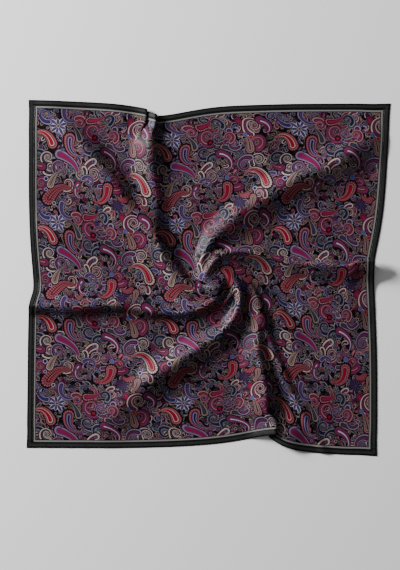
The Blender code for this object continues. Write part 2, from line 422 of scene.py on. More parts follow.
    def side_pleats(self, side: Side, place: np.ndarray, inward: np.ndarray) -> tuple[np.ndarray, ...]:
        """Shift, lift and cloth taken up by all the pleats of one side."""
        totals = [0.0 * place, 0.0 * place, 0.0 * place]
        for pleat in self.pleats:
            if pleat.side is side:
                totals = [total + one for total, one in zip(totals, pleat.at(place, inward))]
        return tuple(totals)

    def wall_line(self, side: Side, inward: np.ndarray) -> np.ndarray:
        """Flat place of the main pleat's wall on a side, from the middle to the rim."""
        pleat = next(pleat for pleat in self.pleats if pleat.side is side)
        share = np.clip(inward / HALF, 0.0, 1.0)
        reach = pleat.leans * self.wall_from_crest * ease(share / pleat.STATIONS[1])
        return pleat.size_along(pleat.crest, share) + reach


@dataclass(frozen=True)
class ClothGrid:
    """Flat places of a grid that is crowded at the walls of the pleats."""

    cloth: LaidCloth
    lines_each_way: int
    wall_step: float
    rim_step: float
    half: float
    rounds: int = 12

    def lines(self, low_side: Side, high_side: Side, along: np.ndarray, step: np.ndarray) -> np.ndarray:
        """Grid places on the way from one edge to the other.

        Args:
            low_side: the side whose pleat's wall counts where along is below zero.
            high_side: the side whose pleat's wall counts elsewhere.
            along: flat places on the other axis.
            step: numbers of the grid lines, 0 at the wall, of the same shape as along.

        Returns:
            The flat place of each line.
        """
        wall = np.where(along < 0, self.cloth.wall_line(low_side, -along),
                        self.cloth.wall_line(high_side, along))
        share = np.abs(step) / self.lines_each_way
        reach = np.where(step < 0, self.half + wall, self.half - wall)
        at_wall = self.wall_step * self.lines_each_way / reach
        at_rim = self.rim_step * self.lines_each_way / reach
        curve = ((at_wall + at_rim - 2) * share ** 3 + (3 - 2 * at_wall - at_rim) * share ** 2
                 + at_wall * share)
        return wall + np.sign(step) * reach * curve

    @property
    def steps(self) -> np.ndarray:
        """Numbers of the grid lines."""
        return np.arange(-self.lines_each_way, self.lines_each_way + 1)

    def places(self) -> tuple[np.ndarray, np.ndarray]:
        """Flat places across and up, one row of each array for each line up the cloth."""
        column, row = np.meshgrid(self.steps, self.steps)
        up = row * self.half / self.lines_each_way
        for _ in range(self.rounds):
            across = self.lines(Side.BOTTOM, Side.TOP, up, column)
            up = self.lines(Side.LEFT, Side.RIGHT, across, row)
        return across, up


class Signal:
    """A number that varies over a surface, carried by a shader socket."""

    def __init__(self, desk: NodeDesk, socket: bpy.types.NodeSocket) -> None:
        """Wraps a socket of the desk's node tree."""
        self.desk = desk
        self.socket = socket

    def __add__(self, other: Signal | float) -> Signal:
        """Sum."""
        return self.desk.maths("ADD", self, other)

    __radd__ = __add__

    def __sub__(self, other: Signal | float) -> Signal:
        """Difference."""
        return self.desk.maths("SUBTRACT", self, other)

    def __rsub__(self, other: float) -> Signal:
        """Difference from a number."""
        return self.desk.maths("SUBTRACT", other, self)

    def __mul__(self, other: Signal | float) -> Signal:
        """Product."""
        return self.desk.maths("MULTIPLY", self, other)

    __rmul__ = __mul__

    def __truediv__(self, other: Signal | float) -> Signal:
        """Quotient."""
        return self.desk.maths("DIVIDE", self, other)

    def __neg__(self) -> Signal:
        """The same with its sign turned."""
        return self.desk.maths("MULTIPLY", self, -1.0)

    def __abs__(self) -> Signal:
        """The same without its sign."""
        return self.desk.maths("ABSOLUTE", self)

    def __lt__(self, other: Signal | float) -> Signal:
        """1 where it is less, and 0 elsewhere."""
        return self.desk.maths("LESS_THAN", self, other)

    def __gt__(self, other: Signal | float) -> Signal:
        """1 where it is more, and 0 elsewhere."""
        return self.desk.maths("GREATER_THAN", self, other)


class NodeDesk:
    """Adds nodes to one shader tree."""

    MIX_COLOURS = (6, 7)
    MIX_RESULT = 2

    def __init__(self, tree: bpy.types.NodeTree) -> None:
        """Works on a material's tree or on a node group."""
        self.tree = tree

    def node(self, kind: str, settings: dict[str, object] | None = None,
             inputs: dict[str | int, object] | None = None) -> bpy.types.Node:
        """Adds a node.

        Args:
            kind: the node's type, without its ShaderNode prefix.
            settings: the node's own settings, set first; "stops" are the (position,
                colour) pairs of a ramp.
            inputs: for each socket, by name or number, a link or a value.

        Returns:
            The new node.
        """
        node = self.tree.nodes.new("ShaderNode" + kind)
        for name, setting in (settings or {}).items():
            if name == "stops":
                self.set_stops(node.color_ramp, setting)
            else:
                setattr(node, name, setting)
        for name, value in (inputs or {}).items():
            self.feed(node.inputs[name], value)
        return node

    @staticmethod
    def set_stops(ramp: bpy.types.ColorRamp, stops: Sequence[tuple[float, Sequence[float]]]) -> None:
        """Gives a ramp its flat bands of colour, in order."""
        ramp.interpolation = "CONSTANT"
        while len(ramp.elements) < len(stops):
            ramp.elements.new(1.0)
        for element, (position, colour) in zip(ramp.elements, stops):
            element.position = position
            element.color = colour

    def feed(self, socket: bpy.types.NodeSocket, value: object) -> None:
        """Links a socket to a signal or another socket, or sets its value."""
        if isinstance(value, Signal):
            value = value.socket
        if isinstance(value, bpy.types.NodeSocket):
            self.tree.links.new(value, socket)
        else:
            socket.default_value = value

    def maths(self, operation: str, *terms: Signal | float) -> Signal:
        """Adds a Math node on one to three terms."""
        node = self.node("Math", {"operation": operation}, dict(enumerate(terms)))
        return Signal(self, node.outputs[0])

    def vector(self, operation: str, *terms: object) -> bpy.types.NodeSocket:
        """Adds a Vector Math node whose result is a vector."""
        return self.node("VectorMath", {"operation": operation}, dict(enumerate(terms))).outputs["Vector"]

    def measure(self, operation: str, *terms: object) -> Signal:
        """Adds a Vector Math node whose result is a number."""
        node = self.node("VectorMath", {"operation": operation}, dict(enumerate(terms)))
        return Signal(self, node.outputs["Value"])

    def dot(self, vector: object, other: object) -> Signal:
        """The dot product of two vectors."""
        return self.measure("DOT_PRODUCT", vector, other)

    def join(self, x: object, y: object) -> bpy.types.NodeSocket:
        """The flat vector of two numbers."""
        return self.node("CombineXYZ", None, {0: x, 1: y}).outputs[0]

    def length(self, x: Signal, y: Signal) -> Signal:
        """The length of a flat vector."""
        return self.measure("LENGTH", self.join(x, y))

    def smooth(self, value: Signal, low: float | Signal, high: float | Signal,
               to_low: float | Signal = 0.0, to_high: float | Signal = 1.0) -> Signal:
        """Smooth step of a value from low to high, onto to_low to to_high."""
        node = self.node("MapRange", {"interpolation_type": "SMOOTHSTEP", "clamp": False},
                         {"Value": value, "From Min": low, "From Max": high,
                          "To Min": to_low, "To Max": to_high})
        return Signal(self, node.outputs["Result"])

    def noise(self, place: object, scale: float, detail: float, dimensions: str = "2D") -> Signal:
        """Adds an even noise."""
        node = self.node("TexNoise", {"noise_dimensions": dimensions},
                         {"Vector": place, "Scale": scale, "Detail": detail})
        return Signal(self, node.outputs[0])

    def mix(self, factor: object, below: object, above: object) -> bpy.types.NodeSocket:
        """Mixes two colours by a factor."""
        node = self.node("Mix", {"data_type": "RGBA"},
                         {0: factor, self.MIX_COLOURS[0]: below, self.MIX_COLOURS[1]: above})
        return node.outputs[self.MIX_RESULT]

    def ramp(self, factor: Signal, stops: Sequence[tuple[float, Sequence[float]]]) -> bpy.types.Node:
        """Adds a colour ramp of flat bands."""
        return self.node("ValToRGB", {"stops": stops}, {"Fac": factor})

    def group(self, tree: bpy.types.NodeTree, inputs: dict[str, object]) -> dict[str, Signal]:
        """Adds a group, and gives back what it measures by name."""
        node = self.node("Group", {"node_tree": tree}, inputs)
        return {socket.name: Signal(self, socket) for socket in node.outputs}


class GroupDesk(NodeDesk):
    """Adds nodes to a new node group."""

    KINDS = {"number": "NodeSocketFloat", "vector": "NodeSocketVector", "colour": "NodeSocketColor"}

    def __init__(self, name: str, given: dict[str, str], made: dict[str, str]) -> None:
        """Starts the group.

        Args:
            name: the group's name.
            given: the kinds of its inputs, by name.
            made: the kinds of its outputs, by name.
        """
        super().__init__(bpy.data.node_groups.new(name, "ShaderNodeTree"))
        for direction, sockets in (("INPUT", given), ("OUTPUT", made)):
            for socket, kind in sockets.items():
                self.tree.interface.new_socket(name=socket, in_out=direction, socket_type=self.KINDS[kind])
        start = self.tree.nodes.new("NodeGroupInput")
        self.end = self.tree.nodes.new("NodeGroupOutput")
        self.given = {socket.name: Signal(self, socket) for socket in start.outputs if socket.name}

    def make(self, name: str, value: object) -> None:
        """Feeds one of the group's outputs."""
        self.feed(self.end.inputs[name], value)


def new_material(name: str) -> tuple[bpy.types.Material, bpy.types.Node]:
    """A new material and its shader."""
    material = bpy.data.materials.new(name)
    material.use_nodes = True
    return material, material.node_tree.nodes["Principled BSDF"]


def add_piece(name: str, body: bmesh.types.BMesh, material: bpy.types.Material) -> bpy.types.Object:
    """Makes a piece at the origin from a finished body, which it frees."""
    mesh = bpy.data.meshes.new(name)
    body.to_mesh(mesh)
    body.free()
    mesh.materials.append(material)
    piece = bpy.data.objects.new(name, mesh)
    bpy.context.scene.collection.objects.link(piece)
    return piece


class Dye(Enum):
    """The print's colours, as the screen values they show in ordinary light."""

    GROUND = (5, 4, 6)
    PLUM = (46, 14, 34)
    MAROON = (50, 8, 18)
    BROWN = (72, 48, 44)
    NAVY = (20, 19, 60)
    SLATE = (54, 54, 76)
    BLUE = (36, 40, 104)
    BRIGHT_BLUE = (54, 88, 180)
    VIOLET = (78, 48, 108)
    PURPLE = (104, 34, 80)
    MAGENTA = (126, 32, 76)
    CRIMSON = (140, 18, 68)
    RED = (150, 8, 40)
    SALMON = (154, 82, 94)
    ROSE = (160, 114, 122)
    CREAM = (176, 160, 156)
    TAN = (136, 118, 110)
    GREY = (128, 124, 132)
    LILAC = (140, 122, 150)
    PALE = (172, 168, 182)
    STONE = (148, 148, 145)

    @property
    def reflectance(self) -> tuple[float, float, float, float]:
        """The share of light that the dye throws back."""
        light = np.interp(self.value, SCREEN_VALUES, LIGHT_VALUES) / TABLE_LIGHT
        return (*light.tolist(), 1.0)


class Hand(Enum):
    """Which way a scroll winds in from its head."""

    CLOCKWISE = 1
    ANTICLOCKWISE = -1


@dataclass(frozen=True)
class Dress:
    """The bands of colour across a motif, from its spine to its outline.

    A band runs from its share of the half width to the next one's, and the last
    one ends at the outline. Round beads lie in a row along the inside of the outline.
    """

    bands: tuple[tuple[float, Dye], ...]
    beads: int = 0
    bead_dye: Dye = Dye.SALMON
    scales: Dye | None = None


class Dresses(Enum):
    """The ways that the print's motifs are coloured."""

    RED_CREAM = Dress(((0.0, Dye.RED), (0.36, Dye.CREAM), (0.52, Dye.MAROON)), 17)
    RED_SALMON = Dress(((0.0, Dye.RED), (0.28, Dye.MAROON), (0.38, Dye.ROSE), (0.54, Dye.MAROON)), 16)
    CRIMSON_VIOLET = Dress(((0.0, Dye.CRIMSON), (0.40, Dye.VIOLET), (0.58, Dye.PURPLE)), 18, Dye.LILAC)
    BLUE_BEADED = Dress(((0.0, Dye.NAVY), (0.20, Dye.LILAC), (0.36, Dye.VIOLET), (0.52, Dye.MAROON)), 17)
    VIOLET_LEAF = Dress(((0.0, Dye.VIOLET), (0.34, Dye.NAVY), (0.62, Dye.LILAC)))
    BLUE_LEAF = Dress(((0.0, Dye.BLUE), (0.40, Dye.NAVY), (0.64, Dye.LILAC)))
    TAN_POD = Dress(((0.0, Dye.BROWN), (0.14, Dye.TAN), (0.56, Dye.BROWN)), 14, Dye.CREAM)
    GREY_POD = Dress(((0.0, Dye.SLATE), (0.26, Dye.NAVY), (0.56, Dye.TAN)))
    ROSE_POD = Dress(((0.0, Dye.MAROON), (0.16, Dye.TAN), (0.50, Dye.BROWN)), 14, Dye.ROSE)
    RED_POD = Dress(((0.0, Dye.CRIMSON), (0.40, Dye.MAROON)), 14, Dye.ROSE)
    CRIMSON_HOOK = Dress(((0.0, Dye.CRIMSON), (0.56, Dye.MAROON), (0.74, Dye.MAGENTA)))
    CREAM_CURL = Dress(((0.0, Dye.PURPLE), (0.34, Dye.GROUND), (0.58, Dye.CREAM)))
    ROSE_CURL = Dress(((0.0, Dye.MAGENTA), (0.34, Dye.GROUND), (0.58, Dye.ROSE)))
    MAGENTA_CURL = Dress(((0.0, Dye.ROSE), (0.18, Dye.GROUND), (0.36, Dye.MAGENTA), (0.76, Dye.PURPLE)))
    PURPLE_CURL = Dress(((0.0, Dye.PURPLE), (0.34, Dye.GROUND), (0.62, Dye.LILAC)))
    GREY_CURL = Dress(((0.0, Dye.SLATE), (0.26, Dye.GROUND), (0.56, Dye.CREAM)))
    NAVY_CURL = Dress(((0.0, Dye.NAVY), (0.50, Dye.GROUND), (0.62, Dye.GREY)))
    LILAC_HOOK = Dress(((0.0, Dye.PALE), (0.20, Dye.PLUM), (0.36, Dye.MAGENTA), (0.74, Dye.PURPLE)))
    PINK_HOOK = Dress(((0.0, Dye.ROSE), (0.50, Dye.CRIMSON)))
    PLUME = Dress(((0.0, Dye.RED), (0.30, Dye.ROSE), (0.46, Dye.MAROON), (0.56, Dye.BROWN)), 16, Dye.CREAM)
    SCALED = Dress(((0.0, Dye.RED), (0.12, Dye.MAROON)), 15, scales=Dye.SALMON)
    SALMON_BALL = Dress(((0.0, Dye.CRIMSON), (0.30, Dye.MAROON)), 12, scales=Dye.SALMON)


@dataclass(frozen=True)
class Scroll:
    """A curled motif of the print: a paisley, a hook or a curl.

    eye and head are millimetres across and down from the cut's top left corner, and
    girth is the head's half width as a share of the way between them. The spine
    unwinds fast by growth to a ring of share curl of that way, and by tightness
    inside it. winding is the whole turn from head to tail, in turns.
    """

    eye: tuple[float, float]
    head: tuple[float, float]
    dress: Dresses
    hand: Hand
    girth: float = 0.30
    winding: float = 1.0
    growth: float = 0.70
    curl: float = 0.26
    tightness: float = 0.18
    tip: float = 0.55


CW = Hand.CLOCKWISE
CCW = Hand.ANTICLOCKWISE


@dataclass(frozen=True)
class Flower:
    """A flower of pointed petals, placed by its middle."""

    middle: tuple[float, float]
    size: float
    petals: int
    width: float
    turn: float
    line: Dye
    fills: tuple[Dye, Dye]


@dataclass(frozen=True)
class Spot:
    """A round dot in rings of colour, from its middle outwards."""

    middle: tuple[float, float]
    radius: float
    core: Dye
    ring: Dye


@dataclass(frozen=True)
class SmallLook:
    """Colours of a kind of small motif.

    The line's dye is picked by the random number line_chance, and the fill's by the
    last one. inner is the share of the motif inside its line. Where core is given,
    the fill keeps to that share, with black between it and the line.
    """

    lines: tuple[Dye, ...]
    line_chance: int
    fills: tuple[Dye, ...] = ()
    inner: float = 0.0
    core: float | None = None


class Small(Enum):
    """The kinds of small motif that fill the ground."""

    TENDRIL = SmallLook((Dye.TAN, Dye.GREY, Dye.LILAC, Dye.TAN, Dye.ROSE, Dye.GREY), 1)
    COMMA = SmallLook((Dye.GREY, Dye.TAN, Dye.LILAC, Dye.GREY, Dye.ROSE, Dye.TAN, Dye.MAGENTA, Dye.CREAM,
                       Dye.PURPLE), 0,
                      (Dye.PURPLE, Dye.GROUND, Dye.PLUM, Dye.MAGENTA, Dye.NAVY, Dye.PLUM, Dye.CRIMSON,
                       Dye.GROUND, Dye.BLUE, Dye.PURPLE), 0.60, 0.38)
    FLOWER = SmallLook((Dye.GREY, Dye.LILAC, Dye.TAN, Dye.SLATE), 1,
                       (Dye.GROUND, Dye.PLUM, Dye.NAVY, Dye.PLUM), 0.54)
    SPOT = SmallLook((Dye.GREY, Dye.LILAC, Dye.TAN), 0,
                     (Dye.BLUE, Dye.NAVY, Dye.SALMON, Dye.SLATE, Dye.GROUND, Dye.PURPLE), 0.58)


@dataclass(frozen=True)
class SmallScroll:
    """Sizes of a kind of small scroll, in the terms of Scroll.

    growth and girth are each the least and what the random number may add to it, and
    set_back is how far the eye lies behind the cell's middle.
    """

    set_back: float
    growth: tuple[float, float]
    girth: tuple[float, float]
    tightness: float
    winding: float
    tip: float
    edge_scale: float = 1.0
    curl: float = 0.5


@dataclass(frozen=True)
class Filler:
    """A layer of small motifs, one to a cell of a brick lattice that divides the repeat.

    cells counts them across and up the repeat, the second number even. shift moves the
    lattice, in cells, and seed picks the random numbers. size is the motif's unit length
    and stray how far it may lie from its cell's middle, in millimetres. missing is the
    share of cells that are left empty.
    """

    kind: Small
    cells: tuple[int, int]
    shift: float
    seed: int
    size: float
    stray: float
    missing: float


class PaisleyPrint:
    """The all-over print: large scrolls charted one by one over small ones that fill the ground."""

    REPEAT = (238.0, 187.0)
    HALO = 1.20
    FULLNESS = 0.42
    BEAD_LINE = 0.80
    BEAD_RADIUS = 0.175
    BORDER_WIDTH = 3.3
    BORDER_GAP = 1.2
    HALO_END = 0.995
    KNOT_BLEND = 0.25
    TAIL_END = 12.0
    SCALE_ROWS = 7.0
    SCALE_STEP = (0.02, 0.16)
    SCALED_SHARE = 0.62
    PETAL_SPREAD = 0.14
    PETAL_STEP = 2.4
    PETAL_POINT = 1.25
    PETAL_LEAST = 0.001
    PETAL_FILL = 0.64
    SPOT_RING = 0.72
    SPOT_CORE = 0.54
    WAVE_COUNTS = (2, 3)
    WAVE_STARTS = (0.7, 2.1)
    WAVE_REACHES = (3.4, 3.0)
    SCROLLS = (
        Scroll((16, 70), (45, 84), Dresses.RED_CREAM, CCW, 0.30, 0.75, 0.90, 0.24, 0.18, 0.6),
        Scroll((93, 146), (61, 105), Dresses.CRIMSON_VIOLET, CW, 0.18, 0.16, 1.6, 0.10, 0.2, 0.90),
        Scroll((100, 99), (81, 75), Dresses.BLUE_BEADED, CCW, 0.34, 0.80, 0.85, 0.36, 0.14, 0.6),
        Scroll((82, 178), (40, 192), Dresses.SCALED, CW, 0.27, 0.42, 1.05, 0.20, 0.2, 0.4),
        Scroll((67, 46), (99, 74), Dresses.GREY_POD, CCW, 0.15, 0.16, 1.5, 0.10, 0.2, 0.30),
        Scroll((84, 27), (66, 13), Dresses.VIOLET_LEAF, CCW, 0.24, 1.4, 0.28, 0.40, 0.16, 0.8),
        Scroll((74, 136), (43, 164), Dresses.TAN_POD, CW, 0.17, 0.13, 1.7, 0.10, 0.2, 0.20),
        Scroll((138, 19), (114, 36), Dresses.RED_POD, CCW, 0.24, 0.25, 1.3, 0.12, 0.2, 0.3),
        Scroll((124, 55), (132, 70), Dresses.MAGENTA_CURL, CW, 0.42, 1.5, 0.16, 0.9, 0.16, 0.8),
        Scroll((142, 60), (164, 50), Dresses.PURPLE_CURL, CW, 0.27, 1.6, 0.28, 0.5, 0.16, 0.8),
        Scroll((180, 51), (188, 31), Dresses.CRIMSON_HOOK, CW, 0.28, 1.0, 0.7),
        Scroll((211, 41), (205, 60), Dresses.CREAM_CURL, CW, 0.32, 1.6, 0.22, 0.8, 0.16, 0.8),
        Scroll((178, 56), (205, 90), Dresses.ROSE_POD, CCW, 0.18, 0.13, 1.6, 0.10, 0.2, 0.20),
        Scroll((188, 124), (155, 82), Dresses.GREY_POD, CW, 0.125, 0.13, 1.6, 0.10, 0.2, 0.30),
        Scroll((174, 76), (183, 84), Dresses.PURPLE_CURL, CW, 0.40, 1.4, 0.20, 0.8, 0.18, 0.8),
        Scroll((215, 75), (220, 88), Dresses.MAGENTA_CURL, CCW, 0.44, 1.6, 0.14, 0.9, 0.14, 0.8),
        Scroll((117, 88), (126, 99), Dresses.NAVY_CURL, CW, 0.36, 1.4, 0.20, 0.8, 0.16, 0.8),
        Scroll((134, 107), (145, 98), Dresses.NAVY_CURL, CCW, 0.36, 1.4, 0.22, 0.8, 0.16, 0.8),
        Scroll((160, 126), (148, 95), Dresses.LILAC_HOOK, CW, 0.23, 1.1, 0.7),
        Scroll((129, 139), (128, 117), Dresses.CREAM_CURL, CCW, 0.30, 1.7, 0.24, 0.7, 0.14, 0.8),
        Scroll((147, 142), (142, 162), Dresses.PURPLE_CURL, CCW, 0.23, 1.5, 0.30, 0.6, 0.16, 0.8),
        Scroll((183, 148), (178, 132), Dresses.PINK_HOOK, CCW, 0.22, 1.3, 0.45),
        Scroll((173, 153), (184, 164), Dresses.MAGENTA_CURL, CW, 0.42, 1.5, 0.18, 0.8, 0.14, 0.8),
        Scroll((136, 186), (158, 165), Dresses.RED_SALMON, CW, 0.33, 0.60, 0.95, 0.24, 0.18, 0.6),
        Scroll((184, 176), (197, 181), Dresses.SALMON_BALL, CW, 0.46, 0.5, 0.8),
        Scroll((187, 214), (208, 188), Dresses.ROSE_POD, CW, 0.20, 0.13, 1.6, 0.10, 0.2, 0.20),
        Scroll((203, 141), (236, 160), Dresses.PLUME, CCW, 0.28, 0.62, 0.85, 0.26, 0.18, 0.6),
        Scroll((231, 52), (228, 33), Dresses.LILAC_HOOK, CW, 0.42, 1.1, 0.55),
        Scroll((17, 110), (29, 124), Dresses.NAVY_CURL, CCW, 0.40, 1.6, 0.26, 0.7, 0.14, 0.8),
        Scroll((37, 111), (41, 123), Dresses.GREY_CURL, CW, 0.46, 1.4, 0.18, 0.9, 0.16, 0.8),
        Scroll((43, 131), (34, 139), Dresses.GREY_CURL, CCW, 0.46, 1.4, 0.18, 0.9, 0.16, 0.8),
        Scroll((11, 116), (26, 129), Dresses.MAGENTA_CURL, CW, 0.36, 0.3, 1.1),
        Scroll((25, 162), (32, 173), Dresses.MAGENTA_CURL, CCW, 0.44, 1.6, 0.14, 0.9, 0.14, 0.8),
        Scroll((77, 161), (69, 170), Dresses.CREAM_CURL, CCW, 0.40, 1.4, 0.18, 0.9, 0.16, 0.8),
        Scroll((63, 162), (52, 171), Dresses.VIOLET_LEAF, CW, 0.38, 0.4, 0.9),
        Scroll((31, 26), (38, 42), Dresses.BLUE_LEAF, CW, 0.30, 1.2, 0.36, 0.6, 0.18, 0.8),
        Scroll((102, 140), (109, 131), Dresses.GREY_CURL, CW, 0.42, 1.4, 0.18, 0.9, 0.16, 0.8),
        Scroll((104, 182), (98, 161), Dresses.LILAC_HOOK, CCW, 0.26, 1.2, 0.6),
        Scroll((96, 42), (89, 34), Dresses.ROSE_CURL, CW, 0.46, 1.3, 0.16, 0.9, 0.14, 0.8),
        Scroll((161, 28), (162, 17), Dresses.CREAM_CURL, CCW, 0.42, 1.4, 0.18, 0.9, 0.16, 0.8),
        Scroll((147, 32), (153, 41), Dresses.NAVY_CURL, CCW, 0.42, 1.4, 0.18, 0.9, 0.16, 0.8),
        Scroll((162, 62), (167, 71), Dresses.ROSE_CURL, CCW, 0.44, 1.4, 0.16, 0.9, 0.16, 0.8),
        Scroll((222, 112), (210, 122), Dresses.GREY_CURL, CW, 0.36, 1.5, 0.26, 0.8, 0.16, 0.8),
        Scroll((196, 122), (206, 108), Dresses.PURPLE_CURL, CCW, 0.34, 1.4, 0.24, 0.8, 0.16, 0.8),
        Scroll((120, 155), (108, 150), Dresses.VIOLET_LEAF, CW, 0.34, 1.2, 0.30, 0.8, 0.16, 0.8),
        Scroll((221, 180), (232, 186), Dresses.CREAM_CURL, CCW, 0.40, 1.4, 0.20, 0.8, 0.16, 0.8),
        Scroll((60, 128), (52, 138), Dresses.PURPLE_CURL, CW, 0.36, 1.4, 0.20, 0.8, 0.16, 0.8),
        Scroll((5, 150), (14, 142), Dresses.VIOLET_LEAF, CCW, 0.36, 1.2, 0.30, 0.8, 0.16, 0.8),
    )
    FLOWERS = (
        Flower((57, 50), 21.0, 9, 0.19, 20, Dye.PALE, (Dye.SLATE, Dye.VIOLET)),
        Flower((180, 196), 17.0, 9, 0.13, 10, Dye.VIOLET, (Dye.PLUM, Dye.NAVY)),
        Flower((84, 126), 10.0, 5, 0.24, 40, Dye.GREY, (Dye.SLATE, Dye.PLUM)),
        Flower((192, 112), 15.0, 7, 0.17, 0, Dye.GREY, (Dye.PURPLE, Dye.SLATE)),
        Flower((222, 144), 13.0, 8, 0.18, 15, Dye.LILAC, (Dye.SLATE, Dye.NAVY)),
        Flower((17, 16), 9.0, 6, 0.24, 10, Dye.LILAC, (Dye.NAVY, Dye.SLATE)),
        Flower((120, 172), 9.0, 6, 0.22, 0, Dye.GREY, (Dye.SLATE, Dye.MAROON)),
    )
    SPOTS = (
        Spot((34, 153), 4.6, Dye.NAVY, Dye.PALE),
        Spot((160, 146), 4.6, Dye.BRIGHT_BLUE, Dye.LILAC),
        Spot((193, 59), 4.2, Dye.BRIGHT_BLUE, Dye.LILAC),
        Spot((109, 70), 3.6, Dye.BLUE, Dye.LILAC),
        Spot((138, 72), 3.4, Dye.NAVY, Dye.GREY),
        Spot((204, 66), 4.0, Dye.RED, Dye.ROSE),
        Spot((186, 77), 3.2, Dye.GROUND, Dye.CREAM),
        Spot((154, 73), 3.2, Dye.SALMON, Dye.BROWN),
        Spot((128, 69), 5.0, Dye.RED, Dye.MAROON),
        Spot((213, 170), 4.2, Dye.NAVY, Dye.PALE),
        Spot((128, 116), 3.2, Dye.BLUE, Dye.LILAC),
        Spot((146, 114), 2.8, Dye.GROUND, Dye.CREAM),
        Spot((34, 174), 3.2, Dye.NAVY, Dye.PALE),
        Spot((55, 137), 3.4, Dye.SLATE, Dye.LILAC),
        Spot((171, 139), 3.0, Dye.NAVY, Dye.GREY),
        Spot((131, 39), 2.8, Dye.SALMON, Dye.ROSE),
        Spot((171, 42), 3.2, Dye.PURPLE, Dye.LILAC),
        Spot((66, 96), 3.0, Dye.SLATE, Dye.LILAC),
        Spot((164, 186), 3.4, Dye.BLUE, Dye.LILAC),
        Spot((57, 50), 3.4, Dye.BROWN, Dye.CREAM),
        Spot((95, 168), 2.6, Dye.BLUE, Dye.LILAC),
        Spot((50, 13), 3.8, Dye.SLATE, Dye.PALE),
        Spot((17, 31), 3.2, Dye.ROSE, Dye.BROWN),
    )
    FILLERS = (
        Filler(Small.COMMA, (14, 12), 0.5, 3, 6.2, 0.8, 0.0),
        Filler(Small.TENDRIL, (12, 10), 0.2, 5, 8.8, 1.0, 0.0),
        Filler(Small.FLOWER, (13, 10), 0.4, 1, 8.6, 1.0, 0.28),
        Filler(Small.COMMA, (12, 10), 0.7, 2, 8.0, 1.2, 0.14),
        Filler(Small.SPOT, (13, 12), 0.25, 4, 3.4, 4.0, 0.55),
    )
    SMALL_SCROLLS = {
        Small.TENDRIL: SmallScroll(0.26, (0.26, 0.22), (0.115, 0.0), 0.24, 1.7, 1.4, 0.6),
        Small.COMMA: SmallScroll(0.30, (0.24, 0.30), (0.38, 0.10), 0.18, 1.3, 0.8),
    }
    SMALL_PETALS = (3.0, 4.0)
    SMALL_PETAL_WIDTH = 0.26
    SMALL_SPOTS = (0.55, 0.45)
    FAR_OUTSIDE = 9.0
    CHANCES = 6
    SEED_STEP = 1000.0
    HAND_SHIFT = 16.0
    GAP_SHIFT = 8.0

    PLACING = {"Ground": "colour", "Print Place": "vector", "Middle": "vector", "Along": "vector",
               "Aside": "vector"}
    SCROLL_SIZES = ("Growth", "Knot", "Tightness", "Girth", "Winding", "Tip")

    def __init__(self, desk: NodeDesk) -> None:
        """Builds the groups of nodes that the motifs share."""
        self.desk = desk
        self.plain_scroll = self.measure_scroll("plain scroll", beaded=False)
        self.beaded_scroll = self.measure_scroll("beaded scroll", beaded=True)
        self.flower_shape = self.measure_flower()
        self.dressed = {dress: self.dressed_scroll(dress) for dress in Dresses}
        self.dressed_flower = self.coloured_flower()
        self.dressed_spot = self.coloured_spot()

    def measure_scroll(self, name: str, beaded: bool) -> bpy.types.NodeTree:
        """Group that measures a scroll.

        X and Y are in lengths from eye to head, with the eye at the middle and the
        head at (1, 0). Edge is 0 on the spine and 1 on the outline. A beaded scroll
        also has Bead, which is below 1 on a bead, and Scales, above 0 on a scale. In
        the plane of bearing and logarithm of the distance the spine is a straight
        line, so the scroll is a strip along it.
        """
        numbers = self.SCROLL_SIZES + (("Beads",) if beaded else ())
        desk = GroupDesk(name, dict.fromkeys(("X", "Y", *numbers), "number"),
                         dict.fromkeys(("Edge", "Scales", "Bead"), "number"))
        given = desk.given
        depth = desk.maths("LOGARITHM", desk.length(given["X"], given["Y"]), math.e)
        bearing = desk.maths("ARCTAN2", given["Y"], given["X"])
        growth, knot, tightness = given["Growth"], given["Knot"], given["Tightness"]
        spine = desk.maths("MINIMUM", depth / growth, knot / growth + (depth - knot) / tightness)
        turns = desk.maths("FLOOR", (spine - bearing) / TAU + 0.5)
        turn = desk.maths("MULTIPLY_ADD", desk.maths("MINIMUM", turns, 0.0), TAU, bearing)
        astray = turn - spine
        stretch = desk.maths("SQRT", growth * growth + 1.0)
        inner = tightness / desk.maths("SQRT", tightness * tightness + 1.0)
        pitch = desk.smooth(depth, knot - self.KNOT_BLEND, knot + self.KNOT_BLEND, inner, growth / stretch)
        aside = astray * pitch
        along = (turn - aside * pitch) * stretch
        ahead = desk.maths("MAXIMUM", along, 0.0)
        behind = desk.maths("MAXIMUM", -along / (given["Winding"] * stretch), 0.0)
        girth = given["Girth"] * desk.smooth(behind, 0.0, 1.0, 1.0, given["Tip"])
        if beaded:
            inward = desk.maths("MAXIMUM", desk.maths("MINIMUM", along, 0.0) * growth / stretch, knot)
            girth = girth * desk.maths("EXPONENT", inward * -self.FULLNESS)
        edge = desk.length(aside, ahead) / girth
        edge = desk.maths("MAXIMUM", behind - 1.0, 0.0) * self.TAIL_END + edge
        if beaded:
            phase = desk.maths("MINIMUM", along, 0.0) / given["Girth"]
            phase = phase - desk.maths("ARCTAN2", abs(aside), ahead)
            phase = phase * given["Beads"]
            desk.make("Scales", desk.maths("SINE", phase * 0.5 + edge * self.SCALE_ROWS)
                      * desk.maths("SINE", phase * 0.5 - edge * self.SCALE_ROWS))
            step = (desk.maths("FRACT", phase / TAU) - 0.5) * TAU / given["Beads"]
            desk.make("Bead", desk.length(step, edge - self.BEAD_LINE) / self.BEAD_RADIUS)
        desk.make("Edge", edge)
        return desk.tree

